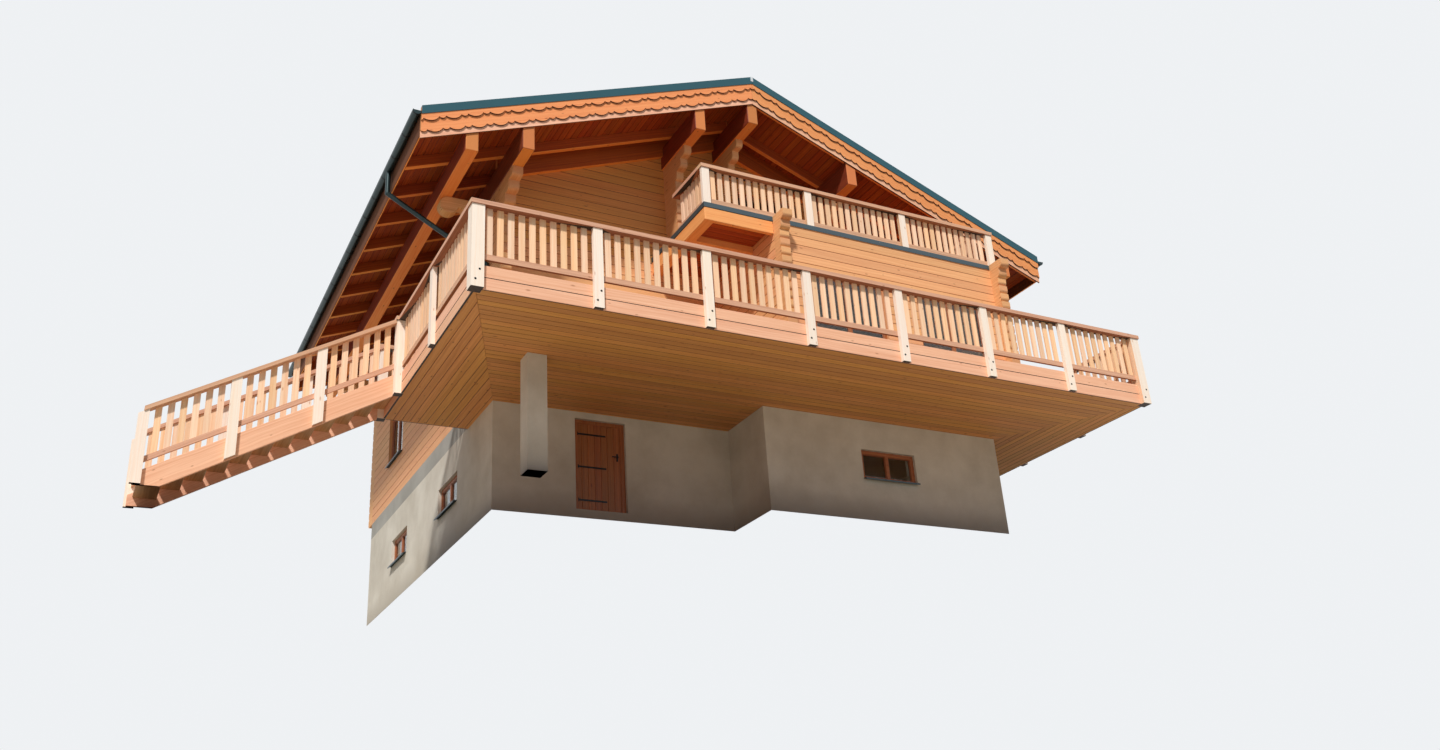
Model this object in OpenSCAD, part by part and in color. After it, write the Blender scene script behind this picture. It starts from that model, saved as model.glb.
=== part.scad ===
// Alpine chalet on a masonry basement, with a raised terrace that wraps around
// its front, an outside stair, an upper balcony on a projecting room, and a low
// roof on deep purlins. Millimetres, +Z up. X runs along the front, Y from front
// to back. The origin is on the ground, under the middle of the whole building.

/* [House] */
// Width of the house over its side walls
house_w = 9740; // [9300:20:10800]
// Distance of the ridge line to the left of the house's middle
ridge_off = 160; // [0:10:300]
// Depth of the house over its front and back walls
house_d = 8600; // [8000:50:9800]
// Thickness of a timber wall
wall_t = 200; // [160:10:240]
// Height of one timber course
course_h = 180; // [150:5:210]
// Thickness of a basement wall
base_wall_t = 300; // [240:10:400]

/* [Levels] */
// Height of the terrace and the main floor above the ground
floor_z = 2300; // [2200:20:2900]
// Height from the main floor to the attic floor
storey_h = 2900; // [2700:20:3200]
// Mean height from the attic floor to the tops of the side walls
knee_h = 780; // [700:5:1000]
// Thickness of the main floor slab
main_slab_t = 350; // [300:10:420]
// Thickness of the attic floor
attic_floor_t = 220; // [160:10:260]
// Thickness of the ground slab
ground_slab_t = 150; // [100:10:200]

/* [Room] */
// Distance of the projecting room's outer left face from the ridge line
room_left = 200; // [100:10:400]
// Distance that the room projects from the front wall
room_d = 2190; // [1900:10:2400]
// Distance that the basement under the room projects from the front wall
bay_d = 1300; // [1000:10:1600]

/* [Terrace] */
// Terrace depth in front of the front wall
terrace_front = 3730; // [3200:10:4200]
// Terrace width beside the left wall
terrace_left = 1495; // [1300:5:1700]
// Terrace width beside the right wall
terrace_right = 1635; // [1500:5:1900]
// Thickness of the deck boards
deck_t = 30; // [24:1:40]
// Height of the boarded skirt under the deck edge
skirt_h = 385; // [340:5:420]
// Thickness of the skirt boards
skirt_t = 30; // [22:1:40]
// Joint between neighbouring boards or board fields
board_gap = 4; // [2:1:8]
// Width of a terrace joist
joist_w = 80; // [60:5:120]
// Spacing of the terrace joists
joist_pitch = 600; // [450:10:800]
// Side of the square pillar under the terrace
pillar_w = 320; // [260:10:400]
// Distance of the pillar's axis from the ridge line
pillar_x = 4650; // [4300:50:4800]
// Distance of the pillar's axis in front of the front wall
pillar_y = 1840; // [1500:20:2400]

/* [Railings] */
// Height of the terrace handrail above the deck
rail_h = 1020; // [900:10:1150]
// Width of a railing post
post_w = 150; // [110:5:180]
// Depth of a railing post
post_d = 70; // [50:5:90]
// Side of a square corner post
corner_w = 190; // [160:5:220]
// Side of a square newel post
newel_w = 150; // [120:5:180]
// Depth of a newel post's seat in the deck edge
newel_seat = 40; // [30:5:60]
// Height of the handrail board
handrail_h = 70; // [50:5:90]
// Handrail overhang beyond posts and rails
handrail_lip = 20; // [10:5:40]
// Height of the bottom rail
low_rail_h = 90; // [60:5:110]
// Thickness of the bottom rail
low_rail_t = 45; // [35:1:60]
// Gap between the deck edge and the bottom rail
low_rail_gap = 95; // [60:5:110]
// Width of a baluster board
baluster_w = 93; // [70:1:110]
// Thickness of a baluster board
baluster_t = 28; // [20:1:34]
// Pitch of the terrace balusters
baluster_pitch = 161; // [140:1:190]
// Target length of a terrace railing bay
bay_target = 1830; // [1500:10:2200]
// Target length of a stair railing bay
stair_bay = 1250; // [1000:10:1800]

/* [Log ends] */
// Reach of the corner log ends from the wall
log_reach = 350; // [250:10:450]
// Reach of the log ends at the projecting room
room_log_reach = 200; // [150:10:300]
// Extra reach of the uppermost log end at the projecting room
room_head_reach = 160; // [100:10:220]
// Extra reach of the log end under the uppermost one
room_neck_reach = 60; // [20:10:100]
// Reach of the longest corbel under a purlin
corbel_reach = 950; // [850:10:1200]
// Difference in reach between two corbels
corbel_step = 190; // [120:10:240]
// Number of corbels under a purlin
corbel_n = 3; // [2:1:4]
// Width of the corbels under the ridge and middle purlins
corbel_w = 150; // [120:10:200]

/* [Stair] */
// Width of the stair over its stringers
stair_w = 1100; // [900:10:1300]
// Distance of the stair's near face behind the front wall's face
stair_y = 305; // [260:5:500]
// Rise of one step
riser = 176.9; // [165:0.1:190]
// Going of one step
going = 310; // [270:5:330]
// Thickness of a tread
tread_t = 45; // [35:1:60]
// Thickness of a stringer
stringer_t = 50; // [40:1:70]
// Rise of the stringer's top edge over the nosing line
stringer_cap = 40; // [20:5:80]
// Overlap of a tread over the next lower one
nosing = 30; // [20:1:40]

/* [Balcony] */
// Distance of the balcony's left face from the ridge line
balcony_left = 1600; // [1500:10:1800]
// Drop of the balcony floor below the attic floor
balcony_drop = 50; // [0:10:100]
// Height of the balcony's kerb above the balcony floor
kerb_rise = 50; // [30:5:100]
// Height of the metal flashing on the kerb
flashing_h = 95; // [60:5:110]
// Overhang of the flashing beyond the kerb
flashing_lip = 10; // [5:1:20]
// Height of the edge beam under the flashing
edge_beam_h = 260; // [220:10:320]
// Width of the balcony's left edge beam and its middle beam
edge_beam_w = 200; // [160:10:240]
// Thickness of the balcony's front beam
front_beam_t = 80; // [60:5:120]
// Distance of the balcony's middle beam behind its front
middle_beam_in = 760; // [650:10:900]
// Thickness of the balcony floor left of the room
balcony_boards_t = 70; // [50:5:90]
// Height of the balcony handrail above the flashing
balcony_rail_h = 810; // [700:10:900]
// Gap between the flashing and the balcony's bottom rail
balcony_rail_gap = 55; // [30:5:80]
// Pitch of the balcony balusters
balcony_pitch = 145; // [130:1:180]
// Distance that the cross wall's end projects from the front wall
fin_d = 500; // [400:10:700]
// Distance of the left railing's end in front of the front wall
balcony_rail_end = 1030; // [900:10:1100]

/* [Roof] */
// Roof pitch in degrees
pitch = 21.4; // [18:0.1:25]
// Overhang of the verge in front of the front wall
verge_front = 1600; // [1400:10:1900]
// Overhang of the verge behind the back wall
verge_back = 1200; // [900:10:1600]
// Overhang of the eaves beyond the side walls
eave_out = 1790; // [1600:10:2000]
// Thickness of the roof covering with its insulation
roofing_t = 260; // [200:10:300]
// Thickness of the boarding on the rafters
boarding_t = 27; // [20:1:35]
// Height of a rafter
rafter_h = 200; // [160:10:240]
// Width of a rafter
rafter_w = 100; // [80:5:120]
// Spacing of the rafters
rafter_pitch = 950; // [700:10:1100]
// Drop of the front gable's rafter below the others
gable_rafter_drop = 190; // [100:10:220]
// Width of a purlin
purlin_w = 220; // [180:10:260]
// Height of a purlin at its axis
purlin_h = 500; // [450:10:600]
// Height of an eave purlin at its axis
eave_purlin_h = 400; // [340:10:460]
// Distance of the eave purlins outside the side walls
eave_purlin_out = 900; // [750:10:1050]
// Height of an eave console between its lobes
console_h = 190; // [150:10:220]
// Radius of the round lobes under an eave console
console_lobe_r = 170; // [140:5:190]
// Distance between an eave console's lobes
console_lobe_pitch = 420; // [390:10:450]
// Distance of the left middle purlin from the ridge line
mid_purlin_left = 1180; // [1100:10:1300]
// Distance of the right middle purlin from the ridge line
mid_purlin_right = 2230; // [2100:10:2400]
// Depth of the straight back bargeboard below the covering's top
barge_back_h = 540; // [500:5:580]
// Depth of the lower scalloped board's cusps below the covering's top
barge_lower_h = 415; // [380:5:440]
// Depth of the upper scalloped board's cusps below the covering's top
barge_upper_h = 210; // [180:5:260]
// Thickness of one bargeboard
barge_t = 27; // [20:1:35]
// Pitch of the scallops
scallop_pitch = 405; // [300:5:500]
// Width of the narrow lobe between two wide ones
scallop_small_w = 120; // [80:5:160]
// Depth of a wide lobe
scallop_h = 55; // [35:1:60]
// Depth of a narrow lobe
scallop_small_h = 32; // [20:1:40]
// Height of the verge flashing in front
verge_flash_h = 128; // [90:2:150]
// Thickness of the verge flashing
verge_flash_t = 12; // [8:1:20]
// Thickness of the eave fascia
fascia_t = 30; // [20:1:40]
// Depth of the fascia's top edge below the covering's top
fascia_in = 10; // [5:1:30]
// Radius of the half-round gutter
gutter_r = 75; // [60:1:90]
// Drop of the gutter's rim below the covering's edge
gutter_drop = 80; // [40:5:120]
// Wall thickness of gutter and downpipe
gutter_wall = 4; // [2:1:6]
// Radius of a downpipe
downpipe_r = 45; // [35:1:60]
// Gap between a downpipe and the wall
downpipe_gap = 5; // [5:1:30]
// Distance of the downpipes behind the front wall's face
outlet_y = 300; // [280:5:400]
// Reach of the ridge cap on each slope
ridge_cap_w = 300; // [200:10:400]
// Thickness of the ridge cap
ridge_cap_t = 15; // [8:1:20]

/* [Openings] */
// Width of a window
window_w = 1200; // [900:50:1400]
// Width of a glazed double door
french_w = 1600; // [1400:50:1650]
// Width of a door
door_w = 950; // [850:50:1100]
// Height of a window
window_h = 1150; // [900:50:1300]
// Height of a window sill above its floor
sill_h = 900; // [800:50:1000]
// Width of a gable window
gable_window_w = 1100; // [900:50:1200]
// Height of a gable window
gable_window_h = 850; // [700:50:900]
// Height of a gable window's sill above the attic floor
gable_sill_h = 800; // [700:50:850]
// Height of a door
door_h = 2080; // [2000:20:2120]
// Distance of the terrace's glazed door from the left wall's face
front_door_in = 1950; // [1600:50:2200]
// Drop of the basement windows' middle below the main floor slab
cellar_light_drop = 600; // [450:50:900]
// Drop of the basement door's head below the main floor slab
cellar_lintel = 150; // [100:10:300]
// Width of a window frame's bar
frame_w = 70; // [50:5:90]
// Depth of a window frame
frame_d = 80; // [60:5:100]
// Distance of the frames behind the wall's outer face
reveal = 60; // [30:5:80]
// Thickness of the glazing
glass_t = 24; // [16:2:40]
// Thickness of a door leaf
leaf_t = 56; // [40:2:70]

/* [Hidden] */
// Rise of the skirt's top edge over the deck
deck_lip = 5;
$fn = 48;
// Half of the joint left where two slopes or boards meet
joint = board_gap / 2;
// Overlength of a cutting solid
over = 10;
// Seam left under the ridge cap and over the gable rafter
seal_t = 0.1;

// Plan: the front wall's face is y = 0 and the ridge is over x = 0
house_x0 = ridge_off - house_w / 2;
house_x1 = ridge_off + house_w / 2;
room_x0 = -room_left;
deck_x0 = house_x0 - terrace_left;
deck_x1 = house_x1 + terrace_right;
deck_y0 = -terrace_front;
stair_y1 = stair_y + stair_w;
deck_y1 = stair_y1;
balcony_x0 = -balcony_left;
balcony_x1 = house_x1;
verge_y0 = -verge_front;
verge_y1 = house_d + verge_back;
// Distances of the side walls' faces and of the eaves from the ridge line,
// right and left
faces = [house_x1, -house_x0];
eaves = [house_x1 + eave_out, eave_out - house_x0];

// Levels
attic_z = floor_z + storey_h;
wall_top = attic_z + knee_h;
slab_z = floor_z - main_slab_t;
balcony_z = attic_z - balcony_drop;
kerb_z = balcony_z + kerb_rise;
skirt_z = floor_z + deck_lip - skirt_h;
soffit_z = slab_z - deck_t;

// Roof: depth is measured down from the covering's top, square to the slope
wall_purlins = [house_x0 + wall_t / 2, house_x1 - wall_t / 2];
eave_purlins = [house_x0 - eave_purlin_out, house_x1 + eave_purlin_out];
boarding_d = roofing_t;
rafter_d = roofing_t + boarding_t;
purlin_d = rafter_d + rafter_h;
ridge_z = wall_top + purlin_h + purlin_d / cos(pitch) + (house_w - wall_t) / 2 * tan(pitch);
function roof_z(x, depth = 0) = ridge_z - abs(x) * tan(pitch) - depth / cos(pitch);

// Underside of a purlin, which a wall or a corbel carries
function under_purlin(x) = roof_z(x, purlin_d) - purlin_h;

// Stair: risers fill the height, treads run down to the left of the deck
riser_n = round(floor_z / riser);
step_h = floor_z / riser_n;
stair_run = riser_n * going;
stair_slope = step_h / going;
stair_foot_x = deck_x0 - stair_run;

// Length of the stair's railings, from the head newels to the foot posts
stair_rail_len = stair_run - going;
// Distance of a corner post's or newel's axis from the skirt's face
corner_seat = corner_w - post_d;
corner_axis = corner_w / 2 - corner_seat;
newel_axis = newel_w / 2 - newel_seat;

// Middle of the whole building's box
box_x0 = deck_x0 - newel_axis - stair_rail_len - post_w / 2;
box_x1 = max(eaves[0] + 2 * gutter_r, deck_x1 + newel_w - newel_seat + handrail_lip);
box_y0 = deck_y0 - post_d - handrail_lip;
box_y1 = verge_y1 + verge_flash_t;
module place() { translate([-(box_x0 + box_x1) / 2, -(box_y0 + box_y1) / 2, 0]) children(); }

// A box from its lowest to its highest corner
module block(lo, hi) { translate(lo) cube([hi[0] - lo[0], hi[1] - lo[1], hi[2] - lo[2]]); }

// An outline in X and Z, made solid from y0 to y1
module slab_xz(points, y0, y1) {
    translate([0, y1, 0]) rotate([90, 0, 0]) linear_extrude(y1 - y0) polygon(points);
}

// An outline in plan, made solid from z0 to z1
module slab_xy(points, z0, z1) { translate([0, 0, z0]) linear_extrude(z1 - z0) polygon(points); }

// The right side of the house, or the left one as its mirror image
module on_side(left) {
    if (left) mirror([1, 0, 0]) children();
    else children();
}

// The right roof slope between two depths, from x0 to x1 and y0 to y1
module slope(x0, x1, d0, d1, y0, y1) {
    slab_xz([[x0, roof_z(x0, d0)], [x1, roof_z(x1, d0)], [x1, roof_z(x1, d1)],
        [x0, roof_z(x0, d1)]], y0, y1);
}

// Everything under the rafters' underside, to trim walls and purlins
module under_roof(depth, y0, y1) {
    far = max(eaves) + over;
    slab_xz([[-far, 0], [far, 0], [far, roof_z(far, depth)], [0, roof_z(0, depth)],
        [-far, roof_z(far, depth)]], y0, y1);
}

// Openings: [place along the wall, width, bottom, height, kind], kind 0 window,
// 1 glazed double door, 2 door
function window_at(p, z) = [p - window_w / 2, window_w, z + sill_h, window_h, 0];
function french_at(p, z) = [p - french_w / 2, french_w, z, door_h, 1];
function door_at(p, z) = [p - door_w / 2, door_w, z, door_h, 2];

function gable_window_at(p) = [p - gable_window_w / 2, gable_window_w, attic_z + gable_sill_h,
    gable_window_h, 0];
basement_head = slab_z - cellar_light_drop;
function cellar_window_at(p) = [p - window_w / 2, window_w, basement_head - window_h / 2,
    window_h / 2, 0];
function cellar_door_at(p) = [p - door_w / 2, door_w, ground_slab_t,
    slab_z - ground_slab_t - cellar_lintel, 2];

front_door_x = house_x0 + front_door_in;
side_door_y = stair_y + stair_w / 2;
front_openings = [french_at(front_door_x, floor_z)];
room_openings = [french_at((room_x0 + house_x1) * 0.27, floor_z),
    french_at((room_x0 + house_x1) * 0.76, floor_z)];
gable_openings = [french_at(mid_purlin_right / 2, attic_z)];
back_gable_openings = [gable_window_at(-mid_purlin_left - gable_window_w),
    gable_window_at(mid_purlin_right / 2)];
left_openings = [door_at(side_door_y, floor_z), window_at(house_d * 0.42, floor_z),
    window_at(house_d * 0.78, floor_z)];
right_openings = [window_at(house_d * 0.2, floor_z), window_at(house_d * 0.5, floor_z),
    window_at(house_d * 0.8, floor_z)];
back_openings = [window_at(house_x0 * 0.6, floor_z), window_at(0, floor_z),
    window_at(house_x1 * 0.6, floor_z)];
cellar_front_openings = [cellar_door_at(front_door_x)];
cellar_bay_openings = [cellar_window_at((room_x0 + house_x1) / 2)];
cellar_side_openings = [cellar_window_at(house_d * 0.3), cellar_window_at(house_d * 0.7)];
cellar_back_openings = [cellar_window_at(house_x0 * 0.5), cellar_window_at(house_x1 * 0.5)];

// Frames of the facades: X runs along the wall and Y inwards from its outer face
module on_front(y = 0) { translate([0, y, 0]) children(); }
module on_back() { translate([0, house_d, 0]) mirror([0, 1, 0]) children(); }
module on_right() { translate([house_x1, 0, 0]) rotate([0, 0, 90]) children(); }
module on_left() { translate([house_x0, 0, 0]) mirror([1, 0, 0]) rotate([0, 0, 90]) children(); }

// The holes that a wall gets for its openings
module holes(list, depth) {
    for (o = list) block([o[0], -over, o[2]], [o[0] + o[1], depth + over, o[2] + o[3]]);
}

// Lights of an opening's frame, as [left, right] pairs
function lights(o) = o[4] == 2 ? [[o[0] + frame_w, o[0] + o[1] - frame_w]] :
    [[o[0] + frame_w, o[0] + (o[1] - frame_w) / 2], [o[0] + (o[1] + frame_w) / 2, o[0] + o[1] - frame_w]];
function light_z0(o) = o[2] + (o[4] == 2 ? 0 : frame_w);
function light_z1(o) = o[2] + o[3] - frame_w;

module frames(list) {
    for (o = list) difference() {
        block([o[0], reveal, o[2]], [o[0] + o[1], reveal + frame_d, o[2] + o[3]]);
        for (l = lights(o))
            block([l[0], reveal - over, light_z0(o) - (o[4] == 2 ? over : 0)],
                [l[1], reveal + frame_d + over, light_z1(o)]);
    }
}

module panes(list) {
    y = reveal + (frame_d - glass_t) / 2;
    for (o = list) if (o[4] != 2) for (l = lights(o))
        block([l[0], y, light_z0(o)], [l[1], y + glass_t, light_z1(o)]);
}

module leaves(list) {
    y = reveal + (frame_d - leaf_t) / 2;
    for (o = list) if (o[4] == 2) for (l = lights(o))
        block([l[0], y, o[2]], [l[1], y + leaf_t, light_z1(o)]);
}

module all_openings(part) {
    module each_kind(list) {
        if (part == "frames") frames(list);
        if (part == "panes") panes(list);
        if (part == "leaves") leaves(list);
    }
    on_front() {
        each_kind(front_openings);
        each_kind(gable_openings);
        each_kind(cellar_front_openings);
    }
    on_front(-room_d) each_kind(room_openings);
    on_front(-bay_d) each_kind(cellar_bay_openings);
    on_back() {
        each_kind(back_openings);
        each_kind(back_gable_openings);
        each_kind(cellar_back_openings);
    }
    on_left() {
        each_kind(left_openings);
        each_kind(cellar_side_openings);
    }
    on_right() {
        each_kind(right_openings);
        each_kind(cellar_side_openings);
    }
}

// Basement
module ground_slab() {
    color("darkgray") slab_xy([
        [house_x0 + base_wall_t, base_wall_t], [room_x0 + base_wall_t, base_wall_t],
        [room_x0 + base_wall_t, -bay_d + base_wall_t], [house_x1 - base_wall_t, -bay_d + base_wall_t],
        [house_x1 - base_wall_t, house_d - base_wall_t], [house_x0 + base_wall_t, house_d - base_wall_t]
    ], 0, ground_slab_t);
}

module basement_front_walls() {
    color("gray") difference() {
        slab_xy([
            [house_x0 + base_wall_t, 0], [room_x0, 0], [room_x0, -bay_d], [house_x1 - base_wall_t, -bay_d],
            [house_x1 - base_wall_t, base_wall_t - bay_d], [room_x0 + base_wall_t, base_wall_t - bay_d],
            [room_x0 + base_wall_t, base_wall_t], [house_x0 + base_wall_t, base_wall_t]
        ], 0, slab_z);
        on_front() holes(cellar_front_openings, base_wall_t);
        on_front(-bay_d) holes(cellar_bay_openings, base_wall_t);
    }
}

module basement_back_wall() {
    color("gray") on_back() difference() {
        block([house_x0 + base_wall_t, 0, 0], [house_x1 - base_wall_t, base_wall_t, slab_z]);
        holes(cellar_back_openings, base_wall_t);
    }
}

module basement_side_wall(y0) {
    difference() {
        block([y0, 0, 0], [house_d, base_wall_t, slab_z]);
        holes(cellar_side_openings, base_wall_t);
    }
}

module basement_left_wall() { color("gray") on_left() basement_side_wall(0); }
module basement_right_wall() { color("gray") on_right() basement_side_wall(-bay_d); }

// Outline of the main floor, which carries the house and the projecting room
function floor_outline() = [
    [house_x0, 0], [room_x0, 0], [room_x0, -room_d], [house_x1, -room_d], [house_x1, house_d],
    [house_x0, house_d]
];

module main_floor() { color("lightgray") slab_xy(floor_outline(), slab_z, floor_z); }

module terrace_pillar() {
    color("gray") block([-pillar_x - pillar_w / 2, -pillar_y - pillar_w / 2, 0],
        [-pillar_x + pillar_w / 2, -pillar_y + pillar_w / 2, soffit_z]);
}

// Posts that are let into the terrace edge, as solids
module corner_post(x, y, w, seat, sx, sy, z0, z1) {
    block([x - (sx < 0 ? w - seat : seat), y - (sy < 0 ? w - seat : seat), z0],
        [x + (sx < 0 ? seat : w - seat), y + (sy < 0 ? seat : w - seat), z1]);
}

post_top = floor_z + rail_h - handrail_h;

module front_corner_posts() {
    corner_post(deck_x0, deck_y0, corner_w, corner_seat, -1, -1, skirt_z, post_top);
    corner_post(deck_x1, deck_y0, corner_w, corner_seat, 1, -1, skirt_z, post_top);
}

module terrace_posts() {
    front_corner_posts();
    head_newel();
    back_newels();
}

// Terrace: fields of boards meet at mitres from the outer to the inner corners
in_x0 = deck_x0 + skirt_t;
in_x1 = deck_x1 - skirt_t;
in_y0 = deck_y0 + skirt_t;
in_y1 = deck_y1 - skirt_t;

// Joists along X beside the house, from y0 to the terrace's back edge
module side_joists(x0, x1, y0, z) {
    span = in_y1 - y0 - joist_w - board_gap;
    count = floor(span / joist_pitch);
    for (i = [0:count]) let (y = y0 + board_gap + i * span / count)
        block([x0, y, slab_z], [x1, y + joist_w, z]);
}

module terrace_joists() {
    joist_z = floor_z - deck_t;
    half = joist_w / 2;
    count = floor((in_x1 - in_x0 - joist_w) / joist_pitch);
    step = (in_x1 - in_x0 - joist_w) / count;
    color("burlywood") difference() {
        union() {
            for (i = [0:count]) let (x = in_x0 + half + i * step)
                block([x - half, in_y0, slab_z], [x + half, x > room_x0 - half ? -room_d : 0, joist_z]);
            side_joists(in_x0, house_x0, 0, joist_z);
            side_joists(house_x1, in_x1, -room_d, joist_z);
        }
        terrace_posts();
    }
}

module terrace_soffit() {
    color("peru") difference() {
        union() {
            slab_xy([[in_x0 + 2 * joint, in_y0], [in_x1 - 2 * joint, in_y0], [house_x1, -bay_d],
                [room_x0, -bay_d], [room_x0, 0], [house_x0 + joint, 0]], soffit_z, slab_z);
            slab_xy([[in_x0, in_y0 + 2 * joint], [house_x0, joint], [house_x0, in_y1], [in_x0, in_y1]],
                soffit_z, slab_z);
            slab_xy([[in_x1, in_y0 + 2 * joint], [in_x1, in_y1], [house_x1, in_y1],
                [house_x1, joint * 2 - bay_d]], soffit_z, slab_z);
        }
        terrace_posts();
    }
}

module terrace_deck() {
    z0 = floor_z - deck_t;
    color("tan") difference() {
        union() {
            block([in_x0, in_y0, z0], [in_x1, -room_d, floor_z]);
            block([in_x0, -room_d + board_gap, z0], [room_x0, 0, floor_z]);
            block([in_x0, board_gap, z0], [house_x0, in_y1, floor_z]);
            block([house_x1, -room_d + board_gap, z0], [in_x1, in_y1, floor_z]);
        }
        terrace_posts();
    }
}

module terrace_skirts() {
    board = (skirt_h - board_gap) / 2;
    color("burlywood") difference() {
        for (z = [skirt_z, skirt_z + board + board_gap]) {
            block([deck_x0, deck_y0, z], [deck_x1, in_y0, z + board]);
            block([deck_x0, in_y0, z], [in_x0, deck_y1, z + board]);
            block([in_x1, in_y0, z], [deck_x1, deck_y1, z + board]);
            block([in_x0, in_y1, z], [house_x0, deck_y1, z + board]);
            block([house_x1, in_y1, z], [in_x1, deck_y1, z + board]);
        }
        terrace_posts();
    }
}

// One bar of a railing, seen along Y: heights are over the walking line, which
// rises by slope
module bar(x0, x1, h0, h1, slope, y0, y1) {
    slab_xz([[x0, h0 + slope * x0], [x1, h0 + slope * x1], [x1, h1 + slope * x1],
        [x0, h1 + slope * x0]], y0, y1);
}

// A straight railing along X from post axis to post axis, with its posts on the
// side of -Y. foot is the posts' lower end and top the handrail's upper face.
module railing(len, bays, baluster_step, foot, low, top, slope = 0, first = 0, last = 1) {
    bay = len / bays;
    clear = bay - post_w;
    count = floor(clear / baluster_step);
    gap = (clear - count * baluster_w) / (count + 1);
    rail_z = low + low_rail_h;
    for (i = [first:bays + last - 1])
        bar(i * bay - post_w / 2, i * bay + post_w / 2, foot, top - handrail_h, slope, -post_d, 0);
    bar(0, len, low, rail_z, slope, 0, low_rail_t);
    for (b = [0:bays - 1], k = [0:count - 1]) let (x = b * bay + post_w / 2 + gap + k * (baluster_w + gap))
        bar(x, x + baluster_w, rail_z, top - handrail_h, slope, (low_rail_t - baluster_t) / 2,
            (low_rail_t + baluster_t) / 2);
    bar(0, len, top - handrail_h, top, slope, -post_d - handrail_lip, low_rail_t + handrail_lip);
}

function bays_in(len) = max(1, round(len / bay_target));
module terrace_railing(len) {
    railing(len, bays_in(len), baluster_pitch, skirt_z, floor_z + low_rail_gap + deck_lip,
        floor_z + rail_h, 0, 1, 0);
}

// Handrail edges, measured from the skirt's face
handrail_out = post_d + handrail_lip;
handrail_in = low_rail_t + handrail_lip;

module terrace_front_railing() {
    x0 = deck_x0 - corner_axis;
    x1 = deck_x1 + corner_axis;
    z1 = floor_z + rail_h;
    color("wheat") union() {
        translate([x0, deck_y0, 0]) terrace_railing(x1 - x0);
        block([deck_x0 - handrail_out, deck_y0 - handrail_out, z1 - handrail_h],
            [deck_x0 + corner_seat, deck_y0 + handrail_in, z1]);
        block([deck_x1 - corner_seat, deck_y0 - handrail_out, z1 - handrail_h],
            [deck_x1 + handrail_out, deck_y0 + handrail_in, z1]);
        front_corner_posts();
    }
}

// The space of the front railing's end blocks, which the side railings meet
module front_railing_ends() {
    z1 = floor_z + rail_h;
    front_corner_posts();
    for (x = [deck_x0 - handrail_out, deck_x1 - corner_seat])
        block([x, deck_y0 - handrail_out, z1 - handrail_h - over],
            [x + corner_seat + handrail_out, deck_y0 + handrail_in, z1 + over]);
}

// A railing along Y on the right edge, from y0 to y1
module side_run(y0, y1) { translate([deck_x1, y0, 0]) rotate([0, 0, 90]) terrace_railing(y1 - y0); }

module newel_cap(x, y) {
    z1 = floor_z + rail_h;
    block([x - newel_w / 2 - handrail_lip, y - newel_w / 2 - handrail_lip, z1 - handrail_h],
        [x + newel_w / 2 + handrail_lip, y + newel_w / 2 + handrail_lip, z1]);
}

// The left newel at the stair's head, with its cap
module head_newel() {
    corner_post(deck_x0, stair_y, newel_w, newel_seat, -1, -1, skirt_z, post_top);
    newel_cap(deck_x0 - newel_axis, stair_y - newel_axis);
}

// The newels at the back ends of the terrace, with their caps
module back_newels() {
    corner_post(deck_x0, deck_y1, newel_w, newel_seat, -1, 1, skirt_z, post_top);
    corner_post(deck_x1, deck_y1, newel_w, newel_seat, 1, 1, skirt_z, post_top);
    newel_cap(deck_x0 - newel_axis, deck_y1 + newel_axis);
    newel_cap(deck_x1 + newel_axis, deck_y1 + newel_axis);
}

module terrace_side_railings() {
    y0 = deck_y0 - corner_axis;
    color("wheat") difference() {
        union() {
            translate([deck_x0 + deck_x1, 0, 0]) mirror([1, 0, 0]) side_run(y0, stair_y - newel_axis);
            head_newel();
            side_run(y0, deck_y1 + newel_axis);
        }
        front_railing_ends();
        back_newels();
        block([deck_x1 - handrail_in, deck_y1 - handrail_in, floor_z],
            [deck_x1 + newel_w, deck_y1 + newel_w, floor_z + 2 * rail_h]);
    }
}

module terrace_back_railings() {
    color("wheat") {
        translate([deck_x0 - newel_axis, deck_y1, 0]) mirror([0, 1, 0])
            terrace_railing(house_x0 - deck_x0 + newel_axis);
        translate([house_x1, deck_y1, 0]) mirror([0, 1, 0])
            terrace_railing(deck_x1 + newel_axis - house_x1);
        back_newels();
    }
}

// Stair, seen from the front: x falls to the left from the deck's edge
function nosing_z(x) = floor_z + (x - deck_x0) * stair_slope;

module stringer(y0) {
    foot = stair_foot_x + going - newel_w / 2;
    head = deck_x0 - newel_w + newel_seat;
    lift = stringer_cap;
    slab_xz([[head, nosing_z(head) + lift - skirt_h], [head, nosing_z(head) + lift],
        [foot, nosing_z(foot) + lift], [foot, 0],
        [deck_x0 + (skirt_h - lift - floor_z) / stair_slope, 0]], y0, y0 + stringer_t);
}

module stair_stringers() {
    color("burlywood") {
        stringer(stair_y);
        stringer(stair_y1 - stringer_t);
    }
}

module stair_treads() {
    color("tan") for (i = [1:riser_n - 1]) let (x = deck_x0 - i * going, z = floor_z - i * step_h)
        block([x, stair_y + stringer_t, z - tread_t],
            [min(x + going + nosing, deck_x0), stair_y1 - stringer_t, z]);
}

module stair_railing() {
    translate([deck_x0 - newel_axis, 0, 0]) mirror([1, 0, 0])
        railing(stair_rail_len, max(1, round(stair_rail_len / stair_bay)), baluster_pitch,
            stringer_cap - skirt_h, low_rail_gap + stringer_cap, rail_h, -stair_slope, 1, 1);
}

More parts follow.
